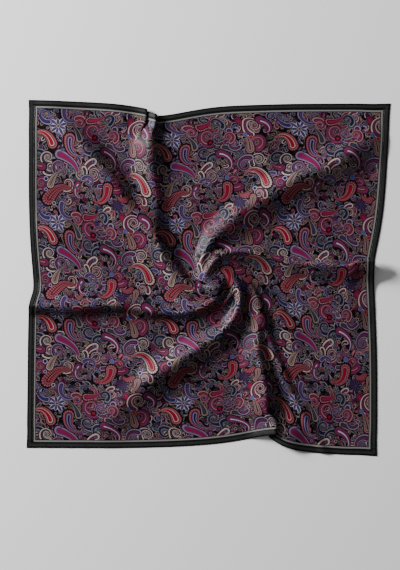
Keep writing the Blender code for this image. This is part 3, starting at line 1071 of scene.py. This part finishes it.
    def measure_flower(self) -> bpy.types.NodeTree:
        """Group that measures a flower whose petals are 1 long; Petal is 0 or 1 in turn."""
        desk = GroupDesk("flower shape", dict.fromkeys(("X", "Y", "Petals", "Width"), "number"),
                         {"Edge": "number", "Petal": "number"})
        given = desk.given
        radius = desk.length(given["X"], given["Y"])
        sector = desk.maths("ARCTAN2", given["Y"], given["X"]) * given["Petals"] / TAU
        number = desk.maths("FLOOR", sector + 0.5)
        turn = (sector - number) * TAU / given["Petals"]
        length = 1.0 - self.PETAL_SPREAD + self.PETAL_SPREAD * desk.maths("SINE", number * self.PETAL_STEP)
        ahead = radius * desk.maths("COSINE", turn) / length
        aside = abs(radius * desk.maths("SINE", turn))
        share = desk.maths("MINIMUM", desk.maths("MAXIMUM", ahead, 0.0), 1.0)
        bulge = desk.maths("SINE", desk.maths("POWER", share, self.PETAL_POINT) * math.pi)
        desk.make("Petal", desk.maths("PINGPONG", number, 1.0))
        desk.make("Edge", aside / (bulge * given["Width"] + self.PETAL_LEAST))
        return desk.tree

    def window(self, desk: GroupDesk) -> dict[str, Signal]:
        """Places about a motif, in its own unit lengths, from the copy of it that is nearest."""
        given = desk.given
        half = (self.REPEAT[0] / 2, self.REPEAT[1] / 2, 1.0)
        near = desk.vector("WRAP", given["Print Place"], desk.vector("ADD", given["Middle"], half),
                           desk.vector("SUBTRACT", given["Middle"], half))
        away = desk.vector("SUBTRACT", near, given["Middle"])
        return {"X": desk.dot(away, given["Along"]), "Y": desk.dot(away, given["Aside"])}

    def dressed_scroll(self, dress: Dresses) -> bpy.types.NodeTree:
        """Group that lays a scroll of one dress, and the dark halo round it, over the ground."""
        look = dress.value
        desk = GroupDesk(dress.name.lower(), self.PLACING | dict.fromkeys(self.SCROLL_SIZES, "number"),
                         {"Colour": "colour"})
        inputs = {name: desk.given[name] for name in self.SCROLL_SIZES} | self.window(desk)
        if look.beads:
            inputs["Beads"] = float(look.beads)
        measured = desk.group(self.beaded_scroll if look.beads else self.plain_scroll, inputs)
        edge = measured["Edge"]
        ground = Dye.GROUND.reflectance
        stops = [(share / self.HALO, dye.reflectance) for share, dye in look.bands]
        stops += [(1.0 / self.HALO, ground), (self.HALO_END, (*ground[:3], 0.0))]
        ramp = desk.ramp(edge / self.HALO, stops)
        colour = desk.mix(ramp.outputs["Alpha"], desk.given["Ground"], ramp.outputs["Color"])
        if look.beads:
            colour = desk.mix(measured["Bead"] < 1.0, colour, look.bead_dye.reflectance)
        if look.scales:
            inside = desk.smooth(measured["Scales"], *self.SCALE_STEP) * (edge < self.SCALED_SHARE)
            colour = desk.mix(inside, colour, look.scales.reflectance)
        desk.make("Colour", colour)
        return desk.tree

    def coloured_flower(self) -> bpy.types.NodeTree:
        """Group that lays a flower over the ground."""
        looks = {"Petals": "number", "Width": "number", "Line": "colour", "Fill": "colour",
                 "Other Fill": "colour"}
        desk = GroupDesk("laid flower", self.PLACING | looks, {"Colour": "colour"})
        given = desk.given
        sizes = {name: given[name] for name in ("Petals", "Width")}
        measured = desk.group(self.flower_shape, self.window(desk) | sizes)
        fill = desk.mix(measured["Petal"], given["Fill"], given["Other Fill"])
        desk.make("Colour", self.banded(desk, measured["Edge"], given["Ground"], given["Line"], fill,
                                        self.PETAL_FILL))
        return desk.tree

    def coloured_spot(self) -> bpy.types.NodeTree:
        """Group that lays a round dot, a dark ring and a thin light ring over the ground."""
        desk = GroupDesk("laid spot", self.PLACING | {"Ring": "colour", "Core": "colour"},
                         {"Colour": "colour"})
        given = desk.given
        edge = desk.length(*self.window(desk).values())
        colour = self.banded(desk, edge, given["Ground"], given["Ring"], Dye.GROUND.reflectance,
                             self.SPOT_RING)
        desk.make("Colour", desk.mix(edge < self.SPOT_CORE, colour, given["Core"]))
        return desk.tree

    def banded(self, desk: NodeDesk, edge: Signal, ground: object, line: object, fill: object,
               inner: float) -> object:
        """Lays a fill within its line, and a dark halo round both, over the ground.

        Args:
            desk: the desk to work on.
            edge: 0 in the middle of the motif and 1 on its outline.
            ground: the colour round the motif.
            line: the colour of its line.
            fill: the colour inside the line.
            inner: edge's value where the line ends and the fill begins.
        """
        colour = desk.mix(edge < self.HALO, ground, Dye.GROUND.reflectance)
        colour = desk.mix(edge < 1.0, colour, line)
        return desk.mix(edge < inner, colour, fill)

    def lay(self, group: bpy.types.NodeTree, ground: object, print_place: object,
            middle: tuple[float, float], size: tuple[float, float], turn: float,
            inputs: dict[str, object]) -> Signal:
        """Lays one charted motif over the ground.

        Args:
            group: the group that lays it.
            ground: the colour below.
            print_place: millimetres across and up from the cut's top left corner.
            middle: millimetres across and down of the motif's own middle.
            size: the motif's unit lengths along and aside, in millimetres.
            turn: the bearing of the motif's axis, in radians.
            inputs: the group's other inputs.
        """
        cosine, sine = math.cos(turn), math.sin(turn)
        placing = {"Ground": ground, "Print Place": print_place, "Middle": (middle[0], -middle[1], 0.0),
                   "Along": (cosine / size[0], sine / size[0], 0.0),
                   "Aside": (-sine / size[1], cosine / size[1], 0.0)}
        return self.desk.group(group, placing | inputs)["Colour"]

    def lay_scroll(self, ground: object, print_place: object, scroll: Scroll) -> Signal:
        """Lays one charted scroll over the ground."""
        run_x = scroll.head[0] - scroll.eye[0]
        run_y = scroll.eye[1] - scroll.head[1]
        size = math.hypot(run_x, run_y)
        sizes = {"Growth": scroll.growth, "Knot": math.log(scroll.curl), "Tightness": scroll.tightness,
                 "Girth": scroll.girth, "Winding": scroll.winding * TAU, "Tip": scroll.tip}
        return self.lay(self.dressed[scroll.dress], ground, print_place, scroll.eye,
                        (size, scroll.hand.value * size), math.atan2(run_y, run_x), sizes)

    def lay_flower(self, ground: object, print_place: object, flower: Flower) -> Signal:
        """Lays one charted flower over the ground."""
        looks = {"Petals": float(flower.petals), "Width": flower.width,
                 "Line": flower.line.reflectance, "Fill": flower.fills[0].reflectance,
                 "Other Fill": flower.fills[1].reflectance}
        return self.lay(self.dressed_flower, ground, print_place, flower.middle,
                        (flower.size, flower.size), math.radians(flower.turn), looks)

    def lay_spot(self, ground: object, print_place: object, spot: Spot) -> Signal:
        """Lays one charted dot over the ground."""
        return self.lay(self.dressed_spot, ground, print_place, spot.middle, (spot.radius, spot.radius),
                        0.0, {"Ring": spot.ring.reflectance, "Core": spot.core.reflectance})

    def scatter(self, print_place: object, filler: Filler) -> tuple[dict[str, Signal], list[Signal]]:
        """Places about the small motif of the nearest cell.

        Args:
            print_place: millimetres across and up from the cut's top left corner.
            filler: the layer of small motifs.

        Returns:
            Places in unit lengths, turned at random, and three random numbers of the cell.
        """
        desk = self.desk
        cells, size = filler.cells, filler.size
        pitch = (self.REPEAT[0] / cells[0], self.REPEAT[1] / cells[1], 1.0)
        steps = desk.vector("DIVIDE", print_place, pitch)
        odd = desk.maths("FLOOR", desk.dot(steps, (0.0, 1.0, 0.0)) + filler.shift) * 0.5
        steps = desk.vector("ADD", steps, desk.join(odd + filler.shift, filler.shift))
        cell = desk.vector("WRAP", desk.vector("FLOOR", steps), (float(cells[0]), float(cells[1]), 1.0),
                           (0.0, 0.0, 0.0))
        number = desk.dot(cell, (1.0, float(cells[0]), 0.0))
        first = (self.CHANCES + 1) * filler.seed
        chances = [Signal(desk, desk.node("TexWhiteNoise", {"noise_dimensions": "1D"},
                                          {"W": number + self.SEED_STEP * i}).outputs["Value"])
                   for i in range(first, first + self.CHANCES)]
        inside = desk.vector("SUBTRACT", desk.vector("FRACTION", steps), (0.5, 0.5, 0.0))
        reach = 2 * filler.stray / size
        x = desk.dot(inside, (pitch[0] / size, 0.0, 0.0)) - (chances[0] - 0.5) * reach
        y = desk.dot(inside, (0.0, pitch[1] / size, 0.0)) - (chances[1] - 0.5) * reach
        cosine = desk.maths("COSINE", chances[2] * TAU)
        sine = desk.maths("SINE", chances[2] * TAU)
        hand = 1.0 - 2.0 * (self.again(chances[2], self.HAND_SHIFT) > 0.5)
        return {"X": x * cosine + y * sine, "Y": (y * cosine - x * sine) * hand}, chances[3:]

    def wavy(self, print_place: object) -> bpy.types.NodeSocket:
        """Print places bent in gentle waves that fit the repeat, so that no rows of motifs show."""
        desk = self.desk
        turns = (desk.dot(print_place, (0.0, self.WAVE_COUNTS[0] * TAU / self.REPEAT[1], 0.0)),
                 desk.dot(print_place, (self.WAVE_COUNTS[1] * TAU / self.REPEAT[0], 0.0, 0.0)))
        waves = [desk.maths("SINE", turn + start) * reach
                 for turn, start, reach in zip(turns, self.WAVE_STARTS, self.WAVE_REACHES)]
        return desk.vector("ADD", print_place, desk.join(*waves))

    def pick(self, chance: Signal, dyes: Sequence[Dye]) -> bpy.types.NodeSocket:
        """One of some dyes, by a random number."""
        stops = [(i / len(dyes), dye.reflectance) for i, dye in enumerate(dyes)]
        return self.desk.ramp(chance, stops).outputs["Color"]

    def again(self, chance: Signal, times: float) -> Signal:
        """Another random number, from the later digits of one."""
        return self.desk.maths("FRACT", chance * times)

    def fill(self, ground: object, print_place: object, filler: Filler) -> object:
        """Lays one layer of small motifs over the ground."""
        look = filler.kind.value
        place, chances = self.scatter(print_place, filler)
        edge = self.small_edge(filler, place, chances)
        line = self.pick(chances[look.line_chance], look.lines)
        fill = self.pick(chances[-1], look.fills) if look.fills else line
        if look.core:
            fill = self.desk.mix(edge < look.core, Dye.GROUND.reflectance, fill)
        return self.banded(self.desk, edge, ground, line, fill, look.inner)

    def small_edge(self, filler: Filler, place: dict[str, Signal], chances: list[Signal]) -> Signal:
        """0 in the middle of a cell's motif and 1 on its outline, and far more in an empty cell."""
        desk = self.desk
        chance = chances[1] if filler.kind is Small.SPOT else self.again(chances[1], self.GAP_SHIFT)
        if filler.kind is Small.SPOT:
            least, more = self.SMALL_SPOTS
            edge = desk.length(*place.values()) / (least + more * chances[0])
        elif filler.kind is Small.FLOWER:
            fewest, more = self.SMALL_PETALS
            petals = {"Petals": desk.maths("FLOOR", fewest + more * chances[0]),
                      "Width": self.SMALL_PETAL_WIDTH}
            edge = desk.group(self.flower_shape, place | petals)["Edge"]
        else:
            edge = self.small_scroll(self.SMALL_SCROLLS[filler.kind], place, chances)
        return edge + (chance < filler.missing) * self.FAR_OUTSIDE

    def small_scroll(self, sizes: SmallScroll, place: dict[str, Signal], chances: list[Signal]) -> Signal:
        """Edge of a small scroll."""
        inputs = {"X": place["X"] + sizes.set_back, "Y": place["Y"],
                  "Growth": sizes.growth[0] + sizes.growth[1] * chances[0],
                  "Girth": sizes.girth[0] + sizes.girth[1] * chances[1], "Knot": math.log(sizes.curl),
                  "Tightness": sizes.tightness, "Winding": sizes.winding * TAU, "Tip": sizes.tip}
        return self.desk.group(self.plain_scroll, inputs)["Edge"] * sizes.edge_scale

    def colour(self, print_place: object, rim: Signal) -> object:
        """The whole print.

        Args:
            print_place: millimetres across and up from the cut's top left corner.
            rim: millimetres from the nearest edge of the cut.
        """
        wavy = self.wavy(print_place)
        colour = Dye.GROUND.reflectance
        for filler in self.FILLERS:
            colour = self.fill(colour, wavy, filler)
        for flower in self.FLOWERS:
            colour = self.lay_flower(colour, print_place, flower)
        for scroll in sorted(self.SCROLLS, key=lambda one: one.dress.value.beads > 0):
            colour = self.lay_scroll(colour, print_place, scroll)
        for spot in self.SPOTS:
            colour = self.lay_spot(colour, print_place, spot)
        inner = HEM_WIDTH / MM + self.BORDER_WIDTH
        colour = self.desk.mix(rim < inner + self.BORDER_GAP, colour, Dye.GROUND.reflectance)
        return self.desk.mix(rim < inner, colour, Dye.STONE.reflectance)


@dataclass(frozen=True)
class ClothFinish:
    """A woven cotton finish on flat places of the cut; thread and weave are in millimetres."""

    name: str
    roughness: float
    specular: float = 0.08
    thread: float = 0.36
    weave: float = 0.10
    slub_scale: float = 0.35
    slub_detail: float = 3.0
    slub_height: float = 0.5
    relief: float = 0.0002
    relief_strength: float = 0.35
    unevenness: float = 0.12

    def make(self) -> bpy.types.Material:
        """Makes the material, with the weave's relief and the uneven shine of its threads."""
        material, shader = new_material(self.name)
        desk = NodeDesk(material.node_tree)
        place = desk.node("Attribute", {"attribute_name": CUT_PLACE}).outputs["Vector"]
        across, up, face = (desk.dot(place, axis) for axis in ((1, 0, 0), (0, 1, 0), (0, 0, 1)))
        across, up = across / MM, up / MM
        flat = desk.join(across, up)
        rim = HALF / MM - desk.maths("MAXIMUM", abs(across), abs(up))
        warp = desk.maths("SINE", across * (math.pi / self.thread))
        weft = desk.maths("SINE", up * (math.pi / self.thread))
        slub = desk.noise(flat, self.slub_scale, self.slub_detail)
        height = warp * weft * self.weave + slub * self.slub_height
        bump = desk.node("Bump", None, {"Height": height, "Distance": self.relief,
                                        "Strength": self.relief_strength})
        shader.inputs["Specular IOR Level"].default_value = self.specular
        desk.feed(shader.inputs["Normal"], bump.outputs[0])
        desk.feed(shader.inputs["Roughness"], self.roughness - self.unevenness / 2 + self.unevenness * slub)
        desk.feed(shader.inputs["Base Color"], self.colour(desk, flat, rim, face))
        return material

    def colour(self, desk: NodeDesk, flat: object, rim: Signal, face: Signal) -> object:
        """The cloth's colour.

        Args:
            desk: the desk to work on.
            flat: millimetres across and up from the middle of the cut.
            rim: millimetres from the nearest edge of the cut.
            face: 1 on the right side of the cloth, 0 on the wrong one.
        """
        raise NotImplementedError


@dataclass(frozen=True)
class PrintedCotton(ClothFinish):
    """Fine cotton with the paisley print, paler and duller on its wrong side."""

    name: str = "printed_cotton_finish"
    roughness: float = 0.42
    wrong_side: tuple[float, ...] = (0.10, 0.08, 0.09, 1.0)
    wrong_share: float = 0.30

    def colour(self, desk: NodeDesk, flat: object, rim: Signal, face: Signal) -> object:
        """The print, and its paler wrong side."""
        print_place = desk.vector("ADD", flat, (HALF / MM, -HALF / MM, 0.0))
        colour = PaisleyPrint(desk).colour(print_place, rim)
        wrong = desk.mix(self.wrong_share, colour, self.wrong_side)
        return desk.mix(face > 0.5, wrong, colour)


@dataclass(frozen=True)
class BlackCotton(ClothFinish):
    """The plain black cotton of the hem: painted shade in black on its rounded edge and stitch groove,
    lighter between.
    """

    name: str = "black_hem_finish"
    roughness: float = 0.50
    # painted shade: the black of the rounded outer edge and of the stitch groove and the cloth past it
    black: tuple[float, ...] = (0.0010, 0.0010, 0.0013, 1.0)
    # the hem's own tone on the flat band between the painted shade, mottled at random between these two
    top_band_darkest: tuple[float, ...] = (0.009, 0.009, 0.010, 1.0)
    top_band_lightest: tuple[float, ...] = (0.019, 0.019, 0.020, 1.0)
    # millimetres from the rim where the painted shade of the outer edge gives way to the band, and where the
    # painted shade of the groove begins
    edge_shade_ends: tuple[float, float] = (2.6, 3.6)
    groove_shade_starts: tuple[float, float] = (7.6, 8.6)
    mottle_scale: float = 0.11
    mottle_detail: float = 4.0

    def colour(self, desk: NodeDesk, flat: object, rim: Signal, face: Signal) -> object:
        """Painted shade in black on the hem's rounded outer edge and at its stitch groove, with the mottled
        lighter band between them.
        """
        band_mottle = desk.noise(flat, self.mottle_scale, self.mottle_detail)
        band = desk.mix(band_mottle, self.top_band_darkest, self.top_band_lightest)
        # 1 on the band, 0 in the painted shade of the rounded outer edge and the stitch groove
        band_clear_of_shade = desk.smooth(rim, *self.edge_shade_ends) - desk.smooth(rim, *self.groove_shade_starts)
        return desk.mix(band_clear_of_shade, self.black, band)


@dataclass(frozen=True)
class HemThread:
    """Black sewing thread, twisted, with a slight gloss."""

    name: str = "hem_thread_finish"
    roughness: float = 0.42
    fibre_scale: float = 900.0
    fibre_detail: float = 2.0
    dark: tuple[float, ...] = (0.003, 0.003, 0.004, 1.0)
    light: tuple[float, ...] = (0.014, 0.014, 0.015, 1.0)

    def make(self) -> bpy.types.Material:
        """Makes the thread's material."""
        material, shader = new_material(self.name)
        desk = NodeDesk(material.node_tree)
        place = desk.node("TexCoord").outputs["Object"]
        fibres = desk.noise(place, self.fibre_scale, self.fibre_detail, "3D")
        desk.feed(shader.inputs["Base Color"], desk.mix(fibres, self.dark, self.light))
        shader.inputs["Roughness"].default_value = self.roughness
        return material


class ClothShell:
    """A thin closed shell over a grid of flat places, laid as the cloth lies."""

    def __init__(self, cloth: LaidCloth, across: np.ndarray, up: np.ndarray) -> None:
        """Takes the cloth and the grid of flat places.

        Args:
            cloth: where the cloth lies.
            across: flat places across, one row for each line up the cloth.
            up: flat places up, the same shape.
        """
        self.cloth = cloth
        self.across = across
        self.up = up
        self.middle = cloth.place(across, up)
        normal = np.cross(np.gradient(self.middle, axis=1), np.gradient(self.middle, axis=0))
        self.normal = normal / np.linalg.norm(normal, axis=-1, keepdims=True)

    def build(self, name: str, bottom: np.ndarray | float, top: np.ndarray | float,
              material: bpy.types.Material) -> bpy.types.Object:
        """Builds the shell.

        Args:
            name: the piece's name.
            bottom: how far the wrong side lies above the cloth's own surface.
            top: how far the right side lies above it, one number or the grid's shape.
            material: the shell's finish.

        Returns:
            The piece, at the origin.
        """
        rows, columns = self.across.shape
        printed = self.cloth.printed_place(self.across, self.up)
        body = bmesh.new()
        mark = body.verts.layers.float_vector.new(CUT_PLACE)
        rims = []
        for face, offset in ((1.0, top), (0.0, bottom)):
            before = set(body.faces)
            made = bmesh.ops.create_grid(body, x_segments=columns - 1, y_segments=rows - 1, size=1.0)
            corners = sorted(made["verts"], key=lambda vert: (round(vert.co.y, 6), round(vert.co.x, 6)))
            offset = np.broadcast_to(offset, self.across.shape)[..., None]
            spots = (self.middle + self.normal * offset).reshape(-1, 3)
            for vert, spot, across, up in zip(corners, spots, printed[0].ravel(), printed[1].ravel()):
                vert.co = spot
                vert[mark] = (across, up, face)
            faces = [one for one in body.faces if one not in before]
            if face == 0.0:
                bmesh.ops.reverse_faces(body, faces=faces)
            rims += [edge for one in faces for edge in one.edges if edge.is_boundary]
        bmesh.ops.bridge_loops(body, edges=rims)
        bmesh.ops.recalc_face_normals(body, faces=body.faces)
        piece = add_piece(name, body, material)
        piece.data.shade_smooth()
        return piece


@dataclass
class ScarfPanel:
    """The printed square, from hem to hem."""

    cloth: LaidCloth
    under_hem: float = 0.0015
    thickness: float = 0.0006
    lift: float = 0.0001
    lines_each_way: int = 108
    wall_step: float = 0.0010
    rim_step: float = 0.0021
    face_share: float = 0.74

    def build(self) -> bpy.types.Object:
        """Builds the panel, which runs a little way under the hem."""
        grid = ClothGrid(self.cloth, self.lines_each_way, self.wall_step, self.rim_step,
                         HALF - HEM_WIDTH + self.under_hem)
        shell = ClothShell(self.cloth, *grid.places())
        piece = shell.build("printed_panel", self.lift, self.lift + self.thickness, PrintedCotton().make())
        self.lay_bake_map(piece.data)
        return piece

    def lay_bake_map(self, mesh: bpy.types.Mesh) -> None:
        """Adds a map that gives the printed side most of its room, and the wrong side the rest."""
        places = np.zeros(3 * len(mesh.vertices), np.float32)
        mesh.attributes[CUT_PLACE].data.foreach_get("vector", places)
        corner = np.zeros(len(mesh.loops), np.int32)
        mesh.loops.foreach_get("vertex_index", corner)
        across, up, face = places.reshape(-1, 3)[corner].T
        across = (across + HALF) / CLOTH_SIDE
        up = (up + HALF) / CLOTH_SIDE
        high = np.where(face > 0.5, 1 - self.face_share + self.face_share * up, (1 - self.face_share) * up)
        layer = mesh.uv_layers.new(name=BAKE_MAP)
        layer.uv.foreach_set("vector", np.stack([across, high], axis=1).astype(np.float32).ravel())


@dataclass
class TurnedHem:
    """The black hem along one side, turned twice and stitched."""

    cloth: LaidCloth
    side: Side
    thickness: float = 0.0013
    inner_thickness: float = 0.0009
    outer_round: float = 0.0022
    inner_round: float = 0.0006
    fold_fall: float = 0.9
    outer_fall: float = 0.6
    inner_fall: float = 0.5
    groove_at: float = 0.0098
    groove_width: float = 0.0011
    groove_depth: float = 0.0006
    lift: float = 0.0001
    lines_each_way: int = 118
    wall_step: float = 0.0010
    rim_step: float = 0.0030
    rows: tuple[float, ...] = (0.0, 0.02, 0.06, 0.12, 0.19, 0.32, 0.50, 0.66, 0.72, 0.77, 0.82,
                               0.87, 0.91, 0.95, 0.98, 1.0)

    def height(self, rim: np.ndarray) -> np.ndarray:
        """Thickness of the hem at a distance in from the cut's edge."""
        outer = np.clip(1 - rim / self.outer_round, 0.0, 1.0)
        inner = np.clip(1 - (HEM_WIDTH - rim) / self.inner_round, 0.0, 1.0)
        fold = (self.thickness - self.inner_thickness) * np.sqrt(1 - self.fold_fall * outer ** 2)
        body = (self.inner_thickness + fold) * np.sqrt(1 - self.outer_fall * outer ** 2)
        groove = self.groove_depth * np.exp(-((rim - self.groove_at) / self.groove_width) ** 2)
        return body * np.sqrt(1 - self.inner_fall * inner ** 2) - groove

    def places(self) -> tuple[np.ndarray, np.ndarray]:
        """Flat places of the hem's grid; the top and bottom hems take the corners."""
        half = HALF - HEM_WIDTH
        grid = ClothGrid(self.cloth, self.lines_each_way, self.wall_step, self.rim_step, half)
        sides = (Side.BOTTOM, Side.TOP) if self.side.level else (Side.LEFT, Side.RIGHT)
        along = grid.lines(*sides, np.full(grid.steps.shape, self.side.outward * half), grid.steps)
        rows = np.array(self.rows) * HEM_WIDTH
        if self.side.level:
            along = np.concatenate((-HALF + rows[:-1], along, HALF - rows[-2::-1]))
        inward = HALF - rows[::-1] if self.side.outward > 0 else rows - HALF
        if self.side.level:
            return np.meshgrid(along, inward)
        across, up = np.meshgrid(inward, along)
        return across, up

    def build(self, material: bpy.types.Material) -> bpy.types.Object:
        """Builds the hem; its corners are mitred in relief."""
        across, up = self.places()
        rim = HALF - np.maximum(np.abs(across), np.abs(up))
        shell = ClothShell(self.cloth, across, up)
        return shell.build(f"turned_hem_{self.side.value}", self.lift, self.lift + self.height(rim), material)


@dataclass
class HemStitches:
    """The row of stitches in the groove of one side's hem."""

    hem: TurnedHem
    pitch: float = 0.0031
    length: float = 0.0024
    radius: float = 0.00022
    standing: float = 0.4
    sides: int = 6
    sharp_angle: float = 50.0

    def build(self, material: bpy.types.Material) -> bpy.types.Object:
        """Builds all the stitches of the side as one mesh."""
        hem = self.hem
        half = HALF - hem.groove_at
        count = int(2 * half / self.pitch)
        along = (np.arange(count) - 0.5 * (count - 1)) * self.pitch
        level = hem.side.outward * half + 0.0 * along
        ends = []
        for shift in (-0.5 * self.length, 0.5 * self.length):
            flat = (along + shift, level) if hem.side.level else (level, along + shift)
            ends.append(hem.cloth.place(*flat))
        rise = hem.lift + float(hem.height(np.array(hem.groove_at))) + self.standing * self.radius
        body = bmesh.new()
        for start, end in zip(*ends):
            made = bmesh.ops.create_cone(body, cap_ends=True, segments=self.sides, radius1=self.radius,
                                         radius2=self.radius, depth=float(np.linalg.norm(end - start)))
            turn = Vector((end - start).tolist()).to_track_quat("Z", "Y").to_matrix()
            middle = Vector(0.5 * (start + end) + (0.0, 0.0, rise))
            for vert in made["verts"]:
                vert.co = turn @ vert.co + middle
        piece = add_piece(f"stitches_{hem.side.value}", body, material)
        piece.data.shade_smooth()
        piece.data.set_sharp_from_angle(angle=math.radians(self.sharp_angle))
        return piece


@dataclass(frozen=True)
class Studio:
    """The pale floor, the soft light from the upper left and the camera straight above."""

    camera_height: float = 3.2
    sensor: float = 36.0
    floor_size: float = 6.0
    floor_grey: float = 0.76
    floor_roughness: float = 0.9
    key_bearing: float = 154.0
    key_elevation: float = 21.0
    key_distance: float = 3.8
    key_size: float = 1.5
    key_power: float = 545.0
    sky: float = 0.22

    def build(self) -> None:
        """Sets the whole studio up."""
        self.build_floor()
        self.build_lights()
        self.build_camera()

    def build_floor(self) -> None:
        """Adds the floor just under the cloth."""
        body = bmesh.new()
        bmesh.ops.create_grid(body, x_segments=1, y_segments=1, size=self.floor_size / 2)
        material, shader = new_material("studio_paper")
        shader.inputs["Base Color"].default_value = (self.floor_grey,) * 3 + (1.0,)
        shader.inputs["Roughness"].default_value = self.floor_roughness
        floor = add_piece("studio_floor", body, material)

    def build_lights(self) -> None:
        """Adds the key light and the even light of the room."""
        lamp = bpy.data.lights.new("key", "AREA")
        lamp.shape = "DISK"
        lamp.size = self.key_size
        lamp.energy = self.key_power
        key = bpy.data.objects.new("key", lamp)
        bearing = math.radians(self.key_bearing)
        elevation = math.radians(self.key_elevation)
        reach = self.key_distance * math.cos(elevation)
        key.location = (reach * math.cos(bearing), reach * math.sin(bearing),
                        self.key_distance * math.sin(elevation))
        key.rotation_euler = (0.0, math.pi / 2 - elevation, bearing)
        bpy.context.scene.collection.objects.link(key)
        world = bpy.data.worlds.new("room")
        world.use_nodes = True
        world.node_tree.nodes["Background"].inputs["Color"].default_value = (1.0, 1.0, 1.0, 1.0)
        world.node_tree.nodes["Background"].inputs["Strength"].default_value = self.sky
        bpy.context.scene.world = world

    def build_camera(self) -> None:
        """Adds the camera, looking straight down at the middle of the photo's frame."""
        lens = bpy.data.cameras.new("camera")
        lens.sensor_fit = "VERTICAL"
        lens.sensor_height = self.sensor
        lens.lens = self.sensor * self.camera_height / (PHOTO_HEIGHT * PHOTO_SCALE)
        camera = bpy.data.objects.new("camera", lens)
        camera.location = ((PHOTO_WIDTH / 2 - PHOTO_ORIGIN[0]) * PHOTO_SCALE,
                           (PHOTO_ORIGIN[1] - PHOTO_HEIGHT / 2) * PHOTO_SCALE, self.camera_height)
        bpy.context.scene.collection.objects.link(camera)
        bpy.context.scene.camera = camera
        LOG.info("camera sees %.3f m across", PHOTO_WIDTH * PHOTO_SCALE)


def main() -> None:
    """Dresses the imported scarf."""
    logging.basicConfig(level=logging.INFO, format="%(name)s: %(message)s")
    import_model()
    cloth = LaidCloth()
    panel = ScarfPanel(cloth).build()
    LOG.info("%s: %d faces", panel.name, len(panel.data.polygons))
    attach(panel, "root")
    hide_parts("scarf_panel")
    black = BlackCotton().make()
    thread = HemThread().make()
    for side in Side:
        hem = TurnedHem(cloth, side)
        strip = hem.build(black)
        stitches = HemStitches(hem).build(thread)
        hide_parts(f"hem_{side.value}")
        for piece in (strip, stitches):
            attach(piece, "root")
            LOG.info("%s: %d faces", piece.name, len(piece.data.polygons))
    Studio().build()


if __name__ == "__main__":
    main()
